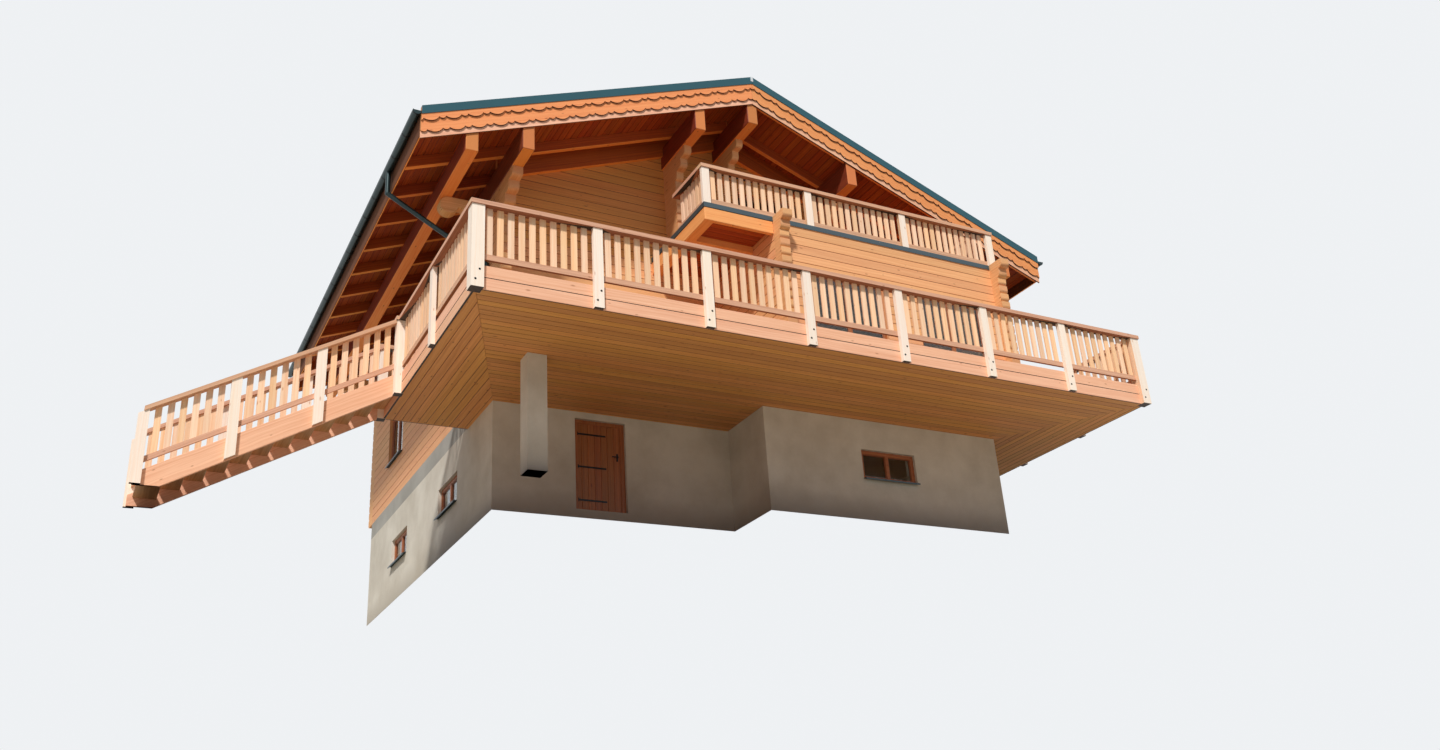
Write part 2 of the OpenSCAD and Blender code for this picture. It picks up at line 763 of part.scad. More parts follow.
module stair_railings() {
    color("wheat") difference() {
        union() {
            translate([0, stair_y, floor_z]) stair_railing();
            translate([0, stair_y1, floor_z]) mirror([0, 1, 0]) stair_railing();
        }
        translate([0, 0, -floor_z]) block([stair_foot_x - house_w, stair_y - house_w, -over],
            [deck_x1, stair_y1 + house_w, floor_z]);
        head_newel();
        back_newels();
        block([deck_x0, deck_y0, 0], [deck_x1, deck_y1 + newel_w, floor_z + 2 * rail_h]);
    }
}

// Timber walls. The side walls run through at the corners.
module front_wall() {
    color("sandybrown") difference() {
        block([house_x0 + wall_t, 0, floor_z], [room_x0, wall_t, attic_z]);
        on_front() holes(front_openings, wall_t);
    }
}

module back_wall() {
    color("sandybrown") on_back() difference() {
        block([house_x0 + wall_t, 0, floor_z], [house_x1 - wall_t, wall_t, attic_z]);
        holes(back_openings, wall_t);
    }
}

module left_wall() {
    color("sandybrown") on_left() difference() {
        block([0, 0, floor_z], [house_d, wall_t, under_purlin(wall_purlins[0])]);
        holes(left_openings, wall_t);
    }
}

module right_wall() {
    color("sandybrown") on_right() difference() {
        union() {
            block([-room_d, 0, floor_z], [0, wall_t, kerb_z]);
            block([0, 0, floor_z], [house_d, wall_t, under_purlin(wall_purlins[1])]);
        }
        holes(right_openings, wall_t);
    }
}

module room_front_wall() {
    color("sandybrown") on_front(-room_d) difference() {
        block([room_x0 + wall_t, 0, floor_z], [house_x1 - wall_t, wall_t, kerb_z]);
        holes(room_openings, wall_t);
    }
}

module room_side_wall() {
    color("sandybrown") {
        block([room_x0, -room_d, floor_z], [room_x0 + wall_t, 0, balcony_z]);
        block([room_x0, 0, floor_z], [room_x0 + wall_t, wall_t, attic_z]);
    }
}

module attic_floor() {
    z0 = attic_z - attic_floor_t;
    color("burlywood") {
        block([house_x0 + wall_t, wall_t, z0], [house_x1 - wall_t, house_d - wall_t, attic_z]);
        block([room_x0 + wall_t, 0, z0], [house_x1 - wall_t, wall_t, attic_z]);
    }
}

// Gable walls fill the slope up to the boarding and let rafters and purlins through
module gable(y0) {
    difference() {
        intersection() {
            block([house_x0 + wall_t, y0, attic_z], [house_x1 - wall_t, y0 + wall_t, ridge_z]);
            under_roof(rafter_d, y0 - over, y0 + wall_t + over);
        }
        purlin_bars();
        rafter_bars();
    }
}

module front_gable() {
    color("sandybrown") difference() {
        gable(0);
        holes(gable_openings, wall_t);
    }
}

module back_gable() {
    color("sandybrown") difference() {
        gable(house_d - wall_t);
        on_back() holes(back_gable_openings, wall_t);
    }
}

// One course of a log end, out from y = 0 to -Y, with its lower edge rounded
module log_course(reach, h, w) {
    r = h * 0.45;
    translate([-w / 2, 0, 0]) rotate([90, 0, 90]) linear_extrude(w) {
        translate([r - reach, 0]) square([reach - r, h]);
        translate([-reach, r]) square([r, h - r]);
        translate([r - reach, r]) circle(r);
    }
}

module log_stack(reaches, h, w) {
    for (i = [0:len(reaches) - 1]) translate([0, 0, -(i + 1) * h]) log_course(reaches[i], h, w);
}

// Reaches of the stepped corbels under a purlin, from the top down
corbel_reaches = [for (i = [0:corbel_n - 1]) corbel_reach - i * corbel_step];

// A column of log ends from bottom to top, with longer ends at its head. Its
// courses are whole tenths of a millimetre, and the uppermost takes up the rest.
module log_column(bottom, top, heads, reach, w = wall_t) {
    count = round((top - bottom) / course_h);
    h = floor((top - bottom) / count * 10) / 10;
    reaches = [for (i = [0:count - 1]) i < len(heads) ? max(heads[i], reach) : reach];
    translate([0, 0, bottom + count * h]) log_stack(reaches, h, w);
    block([-w / 2, -reaches[0], bottom + count * h - over], [w / 2, 0, top]);
}

module cross_wall_end() {
    translate([-mid_purlin_left, 0, 0])
        log_column(balcony_z, under_purlin(mid_purlin_left), corbel_reaches, fin_d, corbel_w);
}

// The right wall purlin's corbels end above the balcony's flashing
balcony_corbel_n = min(corbel_n,
    floor((under_purlin(wall_purlins[1]) - kerb_z - flashing_h) / course_h));

module log_ends() {
    color("peru") {
        cross_wall_end();
        for (x = [room_x0 + wall_t / 2, wall_purlins[1]]) translate([x, -room_d, 0])
            log_column(floor_z, kerb_z + flashing_h,
                [room_log_reach + room_head_reach, room_log_reach + room_neck_reach], room_log_reach);
        translate([wall_purlins[0], 0, 0])
            log_column(floor_z, under_purlin(wall_purlins[0]), corbel_reaches, log_reach);
        translate([wall_purlins[1], 0, under_purlin(wall_purlins[1])])
            log_stack([for (i = [0:balcony_corbel_n - 1]) corbel_reaches[i]], course_h, wall_t);
        for (x = wall_purlins) translate([x, house_d, 0]) mirror([0, 1, 0])
            log_column(floor_z, under_purlin(x), corbel_reaches, log_reach);
    }
}

// Balcony on the projecting room
module balcony_floor() {
    color("burlywood") {
        block([room_x0 + wall_t, -room_d + wall_t, attic_z - attic_floor_t],
            [house_x1 - wall_t, 0, balcony_z]);
        block([balcony_x0 + edge_beam_w, -room_d + front_beam_t, balcony_z - balcony_boards_t],
            [room_x0, 0, balcony_z]);
    }
}

module balcony_edge_beams() {
    z0 = kerb_z - edge_beam_h;
    front_y = -room_d + front_beam_t;
    middle_y = -room_d + middle_beam_in;
    color("orange") {
        block([balcony_x0, -room_d, z0], [room_x0, front_y, kerb_z]);
        block([balcony_x0, front_y, z0], [balcony_x0 + edge_beam_w, 0, kerb_z]);
        block([balcony_x0 + edge_beam_w, middle_y, z0],
            [room_x0, middle_y + edge_beam_w, balcony_z - balcony_boards_t]);
    }
}

module balcony_flashing() {
    z1 = kerb_z + flashing_h;
    out_x = balcony_x0 - flashing_lip;
    out_y = -room_d - flashing_lip;
    front_y = -room_d + front_beam_t;
    color("darkslategray") difference() {
        union() {
            block([out_x, out_y, kerb_z], [balcony_x1, front_y, z1]);
            block([out_x, front_y, kerb_z], [balcony_x0 + edge_beam_w, 0, z1]);
            block([room_x0 + wall_t, front_y, kerb_z], [balcony_x1, -room_d + wall_t, z1]);
            block([balcony_x1 - wall_t, front_y, kerb_z], [balcony_x1, 0, z1]);
        }
        log_ends();
    }
}

balcony_rail_z = kerb_z + flashing_h;
balcony_rail_y = -room_d + post_d;
balcony_rail_x0 = balcony_x0 + post_d;
balcony_rail_x1 = balcony_x1 - post_d;
// The right return stands clear of the wall purlin above it
balcony_return_x = wall_purlins[1] - purlin_w / 2 - handrail_out - board_gap;

module balcony_run(len, bays, first, last) {
    z = balcony_rail_z;
    railing(len, bays, balcony_pitch, z, z + balcony_rail_gap, z + balcony_rail_h, 0, first, last);
}

module balcony_front_railing() {
    len = balcony_rail_x1 - balcony_rail_x0;
    z1 = balcony_rail_z + balcony_rail_h;
    color("wheat") translate([balcony_rail_x0, balcony_rail_y, 0]) {
        balcony_run(len, 3, 0, 1);
        for (x = [-handrail_out, len - handrail_in])
            block([x, -handrail_out, z1 - handrail_h], [x + handrail_out + handrail_in, handrail_in, z1]);
    }
}

module balcony_side_railings() {
    y0 = balcony_rail_y;
    left_len = -balcony_rail_end - y0;
    color("wheat") difference() {
        union() {
            translate([balcony_rail_x0, y0, 0]) mirror([1, 0, 0]) rotate([0, 0, 90])
                balcony_run(left_len, 1, 1, 0);
            translate([balcony_return_x, y0, 0]) rotate([0, 0, 90]) balcony_run(-y0, 1, 1, 0);
        }
        block([balcony_x0 - handrail_out, y0 - post_d - handrail_lip - over, balcony_rail_z - over],
            [balcony_x1 + handrail_out, y0 + handrail_in, balcony_rail_z + balcony_rail_h + over]);
    }
}

// Purlins, trimmed to the rafters' underside
module purlin_bar(x, h) {
    z = roof_z(x, purlin_d) - h;
    intersection() {
        block([x - purlin_w / 2, verge_y0 + barge_d, z],
            [x + purlin_w / 2, verge_y1 - barge_d, ridge_z]);
        under_roof(purlin_d, verge_y0, verge_y1);
    }
}

module purlin_bars() {
    purlin_bar(0, purlin_h);
    purlin_bar(-mid_purlin_left, purlin_h);
    purlin_bar(mid_purlin_right, purlin_h);
    for (x = wall_purlins) purlin_bar(x, purlin_h);
    for (x = eave_purlins) purlin_bar(x, eave_purlin_h);
}

module purlins() { color("chocolate") purlin_bars(); }

// Stepped corbels under the purlins, out from a face at y = 0
module hung_corbel(x) {
    translate([x, 0, under_purlin(x)]) log_stack(corbel_reaches, course_h, corbel_w);
}

// Consoles that run out beside the house and carry the eave purlins
module eave_console(face) {
    reach = eave_purlin_out + purlin_w / 2;
    r = console_lobe_r;
    translate([face, wall_t, roof_z(face + eave_purlin_out, purlin_d) - eave_purlin_h])
        rotate([90, 0, 0]) linear_extrude(wall_t) {
            translate([0, -console_h]) square([reach - r, console_h]);
            for (i = [0, 1]) translate([reach - r - i * console_lobe_pitch, -r]) circle(r);
        }
}

module purlin_corbels() {
    color("peru") {
        for (x = [0, mid_purlin_right]) {
            hung_corbel(x);
            translate([0, house_d, 0]) mirror([0, 1, 0]) hung_corbel(x);
        }
        translate([0, house_d, 0]) mirror([0, 1, 0]) hung_corbel(-mid_purlin_left);
        for (i = [0, 1]) on_side(i == 1) {
            eave_console(faces[i]);
            translate([0, house_d - wall_t, 0]) eave_console(faces[i]);
        }
    }
}

// Rafters between the verges, in pairs
module rafter_bars() {
    y_first = verge_y0 + barge_d;
    span = verge_y1 - verge_y0 - 2 * barge_d - rafter_w;
    count = floor(span / rafter_pitch);
    step = span / count;
    for (i = [0, 1]) on_side(i == 1) for (k = [0:count]) let (y = y_first + k * step)
        slope(joint, eaves[i] - fascia_t, rafter_d, purlin_d, y, y + rafter_w);
}

// The deeper rafter on the front gable's face, between the purlins
module gable_rafter() {
    difference() {
        for (i = [0, 1]) on_side(i == 1)
            slope(joint, faces[i], rafter_d + seal_t, purlin_d + gable_rafter_drop, -rafter_w, 0);
        purlin_bars();
    }
}

module rafters() {
    color("sienna") {
        rafter_bars();
        gable_rafter();
    }
}

// A layer on the rafters over both slopes, between two depths
module roof_layer(d0, d1) {
    for (i = [0, 1]) on_side(i == 1)
        slope(joint, eaves[i] - fascia_t, d0, d1, verge_y0 + barge_d, verge_y1 - barge_d);
}

module roof_boarding() { color("chocolate") roof_layer(boarding_d, rafter_d); }
module roof_covering() { color("darkslategray") roof_layer(0, boarding_d); }

module ridge_cap() {
    w = ridge_cap_w;
    t = ridge_cap_t;
    z = roof_z(w);
    color("darkslategray") slab_xz([[-w, z + seal_t], [0, ridge_z + seal_t], [w, z + seal_t],
        [w, z + t], [0, ridge_z + t], [-w, z + t]], verge_y0 + barge_d, verge_y1 - barge_d);
}

// Bargeboards: two boards with lobed lower edges before a straight one. In the
// outline u runs down the slope from the ridge and depth is square to it.
barge_d = 3 * barge_t;
barge_len = max(eaves) / cos(pitch);
// Width of the flat cusp left between two lobes
cusp_w = 5;

// One lobe: the part of this circle below the cusp line has width w and depth h
module lobe(u, w, h) {
    r = (w * w / 4 + h * h) / (2 * h);
    translate([u, r - h]) circle(r);
}

module lobed_edge(depth) {
    count = ceil(barge_len / scallop_pitch);
    wide = scallop_pitch - scallop_small_w;
    translate([0, -depth]) intersection() {
        for (i = [0:count]) {
            lobe(i * scallop_pitch, wide - cusp_w, scallop_h);
            lobe((i + 0.5) * scallop_pitch, scallop_small_w - cusp_w, scallop_small_h);
        }
        translate([-scallop_pitch, -2 * scallop_h])
            square([barge_len + 3 * scallop_pitch, 2 * scallop_h + over]);
    }
}

module barge_board(depth, layer, lobed, eave) {
    reach = barge_len + scallop_pitch;
    y0 = verge_y0 + layer * barge_t;
    translate([0, y0 + barge_t, ridge_z]) rotate([90, 0, 0]) linear_extrude(barge_t) intersection() {
        rotate(-pitch) {
            translate([-reach, -depth]) square([2 * reach, depth + verge_flash_t]);
            if (lobed) lobed_edge(depth);
        }
        translate([joint, -ridge_z]) square([eave - joint, 2 * ridge_z]);
    }
}

module barge_half(eave) {
    barge_board(barge_upper_h, 0, true, eave);
    barge_board(barge_lower_h, 1, true, eave);
    barge_board(barge_back_h, 2, false, eave);
}

module verge_flashing_half(eave) {
    t = verge_flash_t;
    slope(joint, eave, -2 * t, -t, verge_y0 - t, verge_y0 + barge_d);
    slope(joint, eave, -t, verge_flash_h, verge_y0 - t, verge_y0);
}

// The front verge and its mirror image at the back
module at_both_verges() {
    children();
    translate([0, verge_y0 + verge_y1, 0]) mirror([0, 1, 0]) children();
}

module bargeboards() {
    color("orange") for (i = [0, 1]) on_side(i == 1) at_both_verges() barge_half(eaves[i]);
}

module verge_flashings() {
    color("darkslategray") for (i = [0, 1]) on_side(i == 1) at_both_verges()
        verge_flashing_half(eaves[i]);
}

module eave_fascia(eave) {
    z0 = roof_z(eave, purlin_d);
    z1 = roof_z(eave, fascia_in);
    block([eave - fascia_t, verge_y0 + barge_d, z0], [eave, verge_y1 - barge_d, z1]);
}

module eave_fascias() { color("peru") for (i = [0, 1]) on_side(i == 1) eave_fascia(eaves[i]); }

// Fall of the downpipe's neck towards the wall
neck_angle = 30;

// A downpipe that turns back from the gutter to the wall
module downpipe(face, eave, top) {
    x0 = eave + gutter_r;
    x1 = face + downpipe_r + downpipe_gap;
    bend_z = roof_z(eave, purlin_d) - downpipe_r / cos(neck_angle) - over;
    foot_z = bend_z - (x0 - x1) * tan(neck_angle);
    translate([x0, outlet_y, bend_z]) cylinder(r = downpipe_r, h = top - bend_z);
    translate([x0, outlet_y, bend_z]) sphere(downpipe_r);
    translate([x0, outlet_y, bend_z]) rotate([0, -90 - neck_angle, 0])
        cylinder(r = downpipe_r, h = (x0 - x1) / cos(neck_angle));
    translate([x1, outlet_y, foot_z]) sphere(downpipe_r);
    translate([x1, outlet_y, floor_z]) cylinder(r = downpipe_r, h = foot_z - floor_z);
}

// A half-round gutter with end caps, and its downpipe
module gutter(face, eave) {
    r = gutter_r;
    rim_z = roof_z(eave) - gutter_drop;
    run = verge_y1 - verge_y0;
    difference() {
        union() {
            translate([eave + r, verge_y1, rim_z]) rotate([90, 0, 0]) cylinder(r = r, h = run);
            downpipe(face, eave, rim_z - r / 2);
        }
        translate([eave + r, verge_y1 - gutter_wall, rim_z]) rotate([90, 0, 0])
            cylinder(r = r - gutter_wall, h = run - 2 * gutter_wall);
        block([eave - over, verge_y0 - over, rim_z],
            [eave + 2 * r + over, verge_y1 + over, rim_z + r + over]);
    }
}

module gutters_and_downpipes() {
    color("darkslategray") for (i = [0, 1]) on_side(i == 1) gutter(faces[i], eaves[i]);
}

module window_frames() { color("saddlebrown") all_openings("frames"); }
module window_panes() { color("lightblue") all_openings("panes"); }
module door_leaves() { color("saddlebrown") all_openings("leaves"); }

place() ground_slab();
place() basement_front_walls();
place() basement_back_wall();
place() basement_left_wall();
place() basement_right_wall();
place() main_floor();
place() terrace_pillar();
place() terrace_joists();
place() terrace_soffit();
place() terrace_deck();
place() terrace_skirts();
place() terrace_front_railing();
place() terrace_side_railings();
place() terrace_back_railings();
place() stair_stringers();
place() stair_treads();
place() stair_railings();
place() front_wall();
place() back_wall();
place() left_wall();
place() right_wall();
place() room_front_wall();
place() room_side_wall();
place() attic_floor();
place() front_gable();
place() back_gable();
place() log_ends();
place() balcony_floor();
place() balcony_edge_beams();
place() balcony_flashing();
place() balcony_front_railing();
place() balcony_side_railings();
place() purlins();
place() purlin_corbels();
place() rafters();
place() roof_boarding();
place() roof_covering();
place() ridge_cap();
place() bargeboards();
place() verge_flashings();
place() eave_fascias();
place() gutters_and_downpipes();
place() window_frames();
place() window_panes();
place() door_leaves();
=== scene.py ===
import math
import random

import bmesh
import bpy
from mathutils import Matrix, Vector


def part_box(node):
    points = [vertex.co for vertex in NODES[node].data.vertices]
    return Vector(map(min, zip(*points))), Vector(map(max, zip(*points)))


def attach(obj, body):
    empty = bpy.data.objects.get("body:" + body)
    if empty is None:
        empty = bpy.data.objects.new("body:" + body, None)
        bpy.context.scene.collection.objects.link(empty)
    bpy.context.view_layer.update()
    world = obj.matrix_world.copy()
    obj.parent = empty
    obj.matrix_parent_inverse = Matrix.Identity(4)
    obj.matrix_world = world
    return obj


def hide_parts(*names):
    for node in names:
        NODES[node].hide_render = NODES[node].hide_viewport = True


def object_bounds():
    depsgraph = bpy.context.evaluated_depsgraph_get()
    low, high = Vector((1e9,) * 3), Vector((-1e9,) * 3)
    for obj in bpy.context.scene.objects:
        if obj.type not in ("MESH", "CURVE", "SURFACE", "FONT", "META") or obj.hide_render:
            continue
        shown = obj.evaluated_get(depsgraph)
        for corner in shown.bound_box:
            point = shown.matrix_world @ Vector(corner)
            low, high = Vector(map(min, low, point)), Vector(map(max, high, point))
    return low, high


# Metres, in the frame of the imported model: X along the front, Y to the back, Z up
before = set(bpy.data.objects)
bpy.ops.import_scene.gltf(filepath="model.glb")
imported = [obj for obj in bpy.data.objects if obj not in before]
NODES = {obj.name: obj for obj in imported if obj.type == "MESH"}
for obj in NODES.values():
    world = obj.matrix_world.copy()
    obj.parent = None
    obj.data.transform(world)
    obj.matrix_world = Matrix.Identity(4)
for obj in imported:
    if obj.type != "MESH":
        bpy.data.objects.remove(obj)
cad_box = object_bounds()

# House frame: the ridge is over HOUSE_X and the front wall's face is at HOUSE_Y
HOUSE_X = sum(corner.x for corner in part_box("ridge_cap")) / 2
HOUSE_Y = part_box("front_wall")[0].y
FLOOR_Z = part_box("terrace_deck")[1].z

# Camera in the house frame, with its axes as seen in the photograph
CAMERA_PLACE = (-10.64, -18.3, -6.2)
CAMERA_RIGHT = (0.8820, -0.4668, -0.0643)
CAMERA_DOWN = (0.1367, 0.3843, -0.9131)
CAMERA_AHEAD = (0.4508, 0.7966, 0.4028)
FOCAL_PIXELS = 1217.28
IMAGE_WIDTH = 1440
SENSOR_WIDTH = 36.0

# Timber sizes, with the width and depth of each joint
COURSE_H = 0.18
PLANK_W = 0.14
DOOR_BOARD_W = 0.12
WALL_JOINT = (0.014, 0.007)
BOARD_JOINT = (0.012, 0.008)

# Edges that turn by more than this are rounded, and points this close are made one
ROUNDED_FROM = math.radians(35)
WELD_GAP = 2e-5

X = Vector((1, 0, 0))
Y = Vector((0, 1, 0))
Z = Vector((0, 0, 1))
PITCH = math.radians(21.4)

rng = random.Random(7)


def linear(r, g, b):
    """A colour as it is seen, 0 to 255, made linear for the shaders by the sRGB curve."""
    return tuple(((c / 255 + 0.055) / 1.055) ** 2.4 if c > 10 else c / 3294.6 for c in (r, g, b)) + (1.0,)


# Shaders


class Shader:
    """A material's node tree, built step by step."""

    def __init__(self, name, roughness=0.6):
        self.material = bpy.data.materials.new(name)
        self.material.use_nodes = True
        self.tree = self.material.node_tree
        self.surface = self.tree.nodes["Principled BSDF"]
        self.surface.inputs["Roughness"].default_value = roughness

    def node(self, kind, **values):
        made = self.tree.nodes.new(kind)
        for key, value in values.items():
            setattr(made, key, value)
        return made

    def link(self, source, target):
        self.tree.links.new(source, target)

    def put(self, value, socket):
        if isinstance(value, bpy.types.NodeSocket):
            self.link(value, socket)
        else:
            socket.default_value = value

    def math(self, operation, *values):
        made = self.node("ShaderNodeMath", operation=operation)
        for index, value in enumerate(values):
            self.put(value, made.inputs[index])
        return made.outputs[0]

    def vector_math(self, operation, *values):
        made = self.node("ShaderNodeVectorMath", operation=operation)
        for index, value in enumerate(values):
            self.put(value, made.inputs[index])
        return made.outputs["Value" if operation == "LENGTH" else "Vector"]

    def noise(self, vector, scale, detail=3.0, roughness=0.55, distortion=0.0):
        made = self.node("ShaderNodeTexNoise")
        for key, value in (("Vector", vector), ("Scale", scale), ("Detail", detail), ("Roughness", roughness),
                           ("Distortion", distortion)):
            self.put(value, made.inputs[key])
        return made.outputs["Fac"]

    def stretch(self, vector, x, y, z=1.0):
        return self.vector_math("MULTIPLY", vector, (x, y, z))

    def ramp(self, value, stops):
        made = self.node("ShaderNodeValToRGB")
        elements = made.color_ramp.elements
        while len(elements) < len(stops):
            elements.new(0.5)
        for element, (place, colour) in zip(elements, stops):
            element.position = place
            element.color = colour
        self.link(value, made.inputs[0])
        return made.outputs[0]

    def mix(self, factor, first, second, blend="MIX"):
        made = self.node("ShaderNodeMix", data_type="RGBA", blend_type=blend)
        self.put(factor, made.inputs[0])
        self.put(first, made.inputs[6])
        self.put(second, made.inputs[7])
        return made.outputs[2]

    def channel(self, colour, index=0):
        made = self.node("ShaderNodeSeparateColor")
        self.link(colour, made.inputs[0])
        return made.outputs[index]

    def part(self, vector, index):
        made = self.node("ShaderNodeSeparateXYZ")
        self.link(vector, made.inputs[0])
        return made.outputs[index]

    def map(self, name):
        return self.node("ShaderNodeUVMap", uv_map=name).outputs[0]

    def place(self):
        return self.node("ShaderNodeTexCoord").outputs["Object"]

    def paint(self, colour, roughness=None):
        self.link(colour, self.surface.inputs["Base Color"])
        if roughness is not None:
            self.link(roughness, self.surface.inputs["Roughness"])

    def bump(self, height, strength, distance):
        made = self.node("ShaderNodeBump")
        self.put(height, made.inputs["Height"])
        self.put(strength, made.inputs["Strength"])
        self.put(distance, made.inputs["Distance"])
        self.link(made.outputs[0], self.surface.inputs["Normal"])


# Materials


# The boards of a surface differ in hue by this share of the whole circle
HUE_SPREAD = 0.012


def tinted(s, colour, spread):
    """Each board's own tone, from the map that numbers the boards."""
    tone = s.map("tone")
    made = s.node("ShaderNodeHueSaturation")
    s.link(colour, made.inputs["Color"])
    s.link(s.math("MULTIPLY_ADD", s.part(tone, 0), spread, 1.0 - 0.5 * spread), made.inputs["Value"])
    s.link(s.math("MULTIPLY_ADD", s.part(tone, 1), HUE_SPREAD, 0.5 - 0.5 * HUE_SPREAD), made.inputs["Hue"])
    return made.outputs[0]


def timber(name, light, dark, knot, roughness=0.62, spread=0.3, knots=0.5, contrast=1.0, tint=None):
    """Sawn conifer wood. The grain map runs in metres along and across the grain, and tint
    multiplies the colour of some boards more than of others."""
    light, dark, knot = linear(*light), linear(*dark), linear(*knot)
    s = Shader(name, roughness)
    uv = s.map("grain")
    warp = s.math("SUBTRACT", s.noise(s.stretch(uv, 0.9, 2.2), 1.0, 2.0), 0.5)
    lift = s.node("ShaderNodeCombineXYZ")
    s.link(s.math("MULTIPLY", warp, 0.09), lift.inputs[1])
    bent = s.vector_math("ADD", uv, lift.outputs[0])
    rings = s.noise(s.stretch(bent, 0.35, 34.0), 1.0, 2.0, 0.5, 0.4)
    streaks = s.noise(s.stretch(uv, 3.0, 130.0), 1.0, 3.0, 0.6)
    broad = s.noise(s.stretch(uv, 0.7, 1.7), 1.3, 3.0, 0.6)
    figure = s.math("MULTIPLY_ADD", rings, 0.62, s.math("MULTIPLY", streaks, 0.38))
    wood = s.ramp(figure, [(0.5 - 0.16 * contrast, dark), (0.5 + 0.1 * contrast, light)])
    wood = s.mix(s.math("MULTIPLY", broad, 0.35), wood, dark)
    if tint:
        wood = s.mix(s.part(s.map("tone"), 1), wood, (*tint, 1), "MULTIPLY")
    wood = tinted(s, wood, spread)
    spots = s.node("ShaderNodeTexVoronoi", feature="F1", voronoi_dimensions="2D")
    s.link(s.stretch(bent, 2.3, 6.4), spots.inputs["Vector"])
    spots.inputs["Scale"].default_value = 1.0
    size = s.math("MULTIPLY_ADD", s.channel(spots.outputs["Color"], 1), 0.07, 0.05)
    nearness = s.math("MULTIPLY_ADD", s.math("DIVIDE", spots.outputs["Distance"], size), -1.0, 1.0)
    core = s.math("SMOOTH_MIN", s.math("MAXIMUM", nearness, 0.0), 0.7, 0.2)
    chance = s.math("GREATER_THAN", s.channel(spots.outputs["Color"]), 1 - 0.5 * knots)
    mark = s.math("MULTIPLY", core, chance)
    wood = s.mix(s.math("MULTIPLY", mark, 0.9), wood, knot)
    s.paint(wood, s.math("MULTIPLY_ADD", streaks, 0.18, roughness - 0.08))
    s.bump(s.math("MULTIPLY_ADD", mark, -0.5, figure), 0.35, 0.0025)
    return s.material


def end_grain(name, pale, dark):
    """The sawn end of a log or board, with its year rings around the middle of the face."""
    pale, dark = linear(*pale), linear(*dark)
    s = Shader(name, 0.8)
    uv = s.map("grain")
    warp = s.math("SUBTRACT", s.noise(uv, 7.0, 3.0), 0.5)
    heart = s.vector_math("ADD", uv, (0.017, 0.03, 0))
    radius = s.math("MULTIPLY_ADD", warp, 0.03, s.vector_math("LENGTH", heart))
    rings = s.math("MULTIPLY_ADD", s.math("SINE", s.math("MULTIPLY", radius, 560.0)), 0.5, 0.5)
    fibres = s.noise(uv, 90.0, 3.0, 0.6)
    wood = s.mix(s.math("MULTIPLY_ADD", rings, 0.45, s.math("MULTIPLY", fibres, 0.4)), pale, dark)
    wood = tinted(s, wood, 0.22)
    s.paint(wood, s.math("MULTIPLY_ADD", fibres, 0.15, 0.72))
    s.bump(s.math("MULTIPLY_ADD", rings, 0.4, fibres), 0.4, 0.002)
    return s.material


def sheet_metal(name, colour, edge, roughness=0.42, metallic=0.35):
    """Coated sheet metal with faint dents, dust and rubbed places."""
    colour, edge = linear(*colour), linear(*edge)
    s = Shader(name, roughness)
    s.surface.inputs["Metallic"].default_value = metallic
    place = s.place()
    dust = s.noise(place, 1.7, 4.0, 0.6)
    fine = s.noise(place, 38.0, 3.0, 0.6)
    tone = s.mix(s.math("MULTIPLY", dust, 0.55), colour, edge)
    s.paint(tone, s.math("MULTIPLY_ADD", dust, 0.2, roughness - 0.1))
    s.bump(s.math("MULTIPLY_ADD", fine, 0.012, s.noise(place, 3.1, 2.0)), 0.18, 0.012)
    return s.material


def render_coat(name, light, dark, scale=1.0):
    """Rough mineral render, with stains that gather towards the ground."""
    light, dark = linear(*light), linear(*dark)
    s = Shader(name, 0.9)
    place = s.place()
    broad = s.noise(place, 0.8 * scale, 5.0, 0.62)
    grit = s.noise(place, 120.0 * scale, 4.0, 0.65)
    coat = s.noise(place, 22.0 * scale, 5.0, 0.6)
    wall = s.ramp(broad, [(0.35, dark), (0.62, light)])
    wall = s.mix(s.math("MULTIPLY", grit, 0.3), wall, dark)
    low = s.math("SUBTRACT", 1.0, s.math("MULTIPLY", s.part(place, 2), 2.2))
    low = s.math("MAXIMUM", low, 0.0)
    wall = s.mix(s.math("MULTIPLY", low, s.math("MULTIPLY", broad, 0.7)), wall, linear(120, 108, 92))
    s.paint(wall, s.math("MULTIPLY_ADD", coat, 0.15, 0.8))
    s.bump(s.math("MULTIPLY_ADD", grit, 0.35, coat), 0.6, 0.006)
    return s.material


def clear_glass(name):
    s = Shader(name, 0.03)
    s.surface.inputs["Transmission Weight"].default_value = 1.0
    s.surface.inputs["IOR"].default_value = 1.45
    smear = s.noise(s.place(), 6.0, 3.0)
    tint = s.mix(smear, (0.86, 0.93, 0.92, 1), (0.93, 0.97, 0.96, 1))
    s.paint(tint, s.math("MULTIPLY_ADD", smear, 0.03, 0.015))
    return s.material


WALL = timber("larch_wall", (246, 188, 134), (226, 160, 108), (140, 78, 44), spread=0.14)
WALL_SEAM = timber("larch_wall_seam", (196, 124, 72), (160, 92, 48), (104, 54, 24))
GABLE = timber("larch_gable", (232, 166, 92), (206, 138, 70), (128, 72, 32), spread=0.1)
GABLE_SEAM = timber("larch_gable_seam", (170, 106, 52), (136, 80, 36), (90, 46, 20))
BALUSTER = timber("larch_baluster", (255, 228, 200), (244, 198, 158), (184, 112, 66), spread=0.18,
                  knots=0.35, tint=(1.0, 0.86, 0.74))
POST = timber("larch_post", (255, 245, 234), (252, 230, 210), (198, 146, 106), spread=0.06, knots=0.3)
HANDRAIL = timber("larch_handrail", (230, 182, 150), (200, 148, 118), (140, 88, 60), spread=0.1,
                  knots=0.3)
# Painted shade for the faces of the rails that look down
RAIL_PAINTED_SHADE = timber("larch_rail_painted_shade", (176, 116, 82), (146, 88, 58), (104, 58, 34), spread=0.1)
SKIRT = timber("larch_skirt", (252, 204, 172), (226, 164, 128), (158, 92, 56), spread=0.14,
               contrast=1.3, tint=(1.0, 0.94, 0.9))
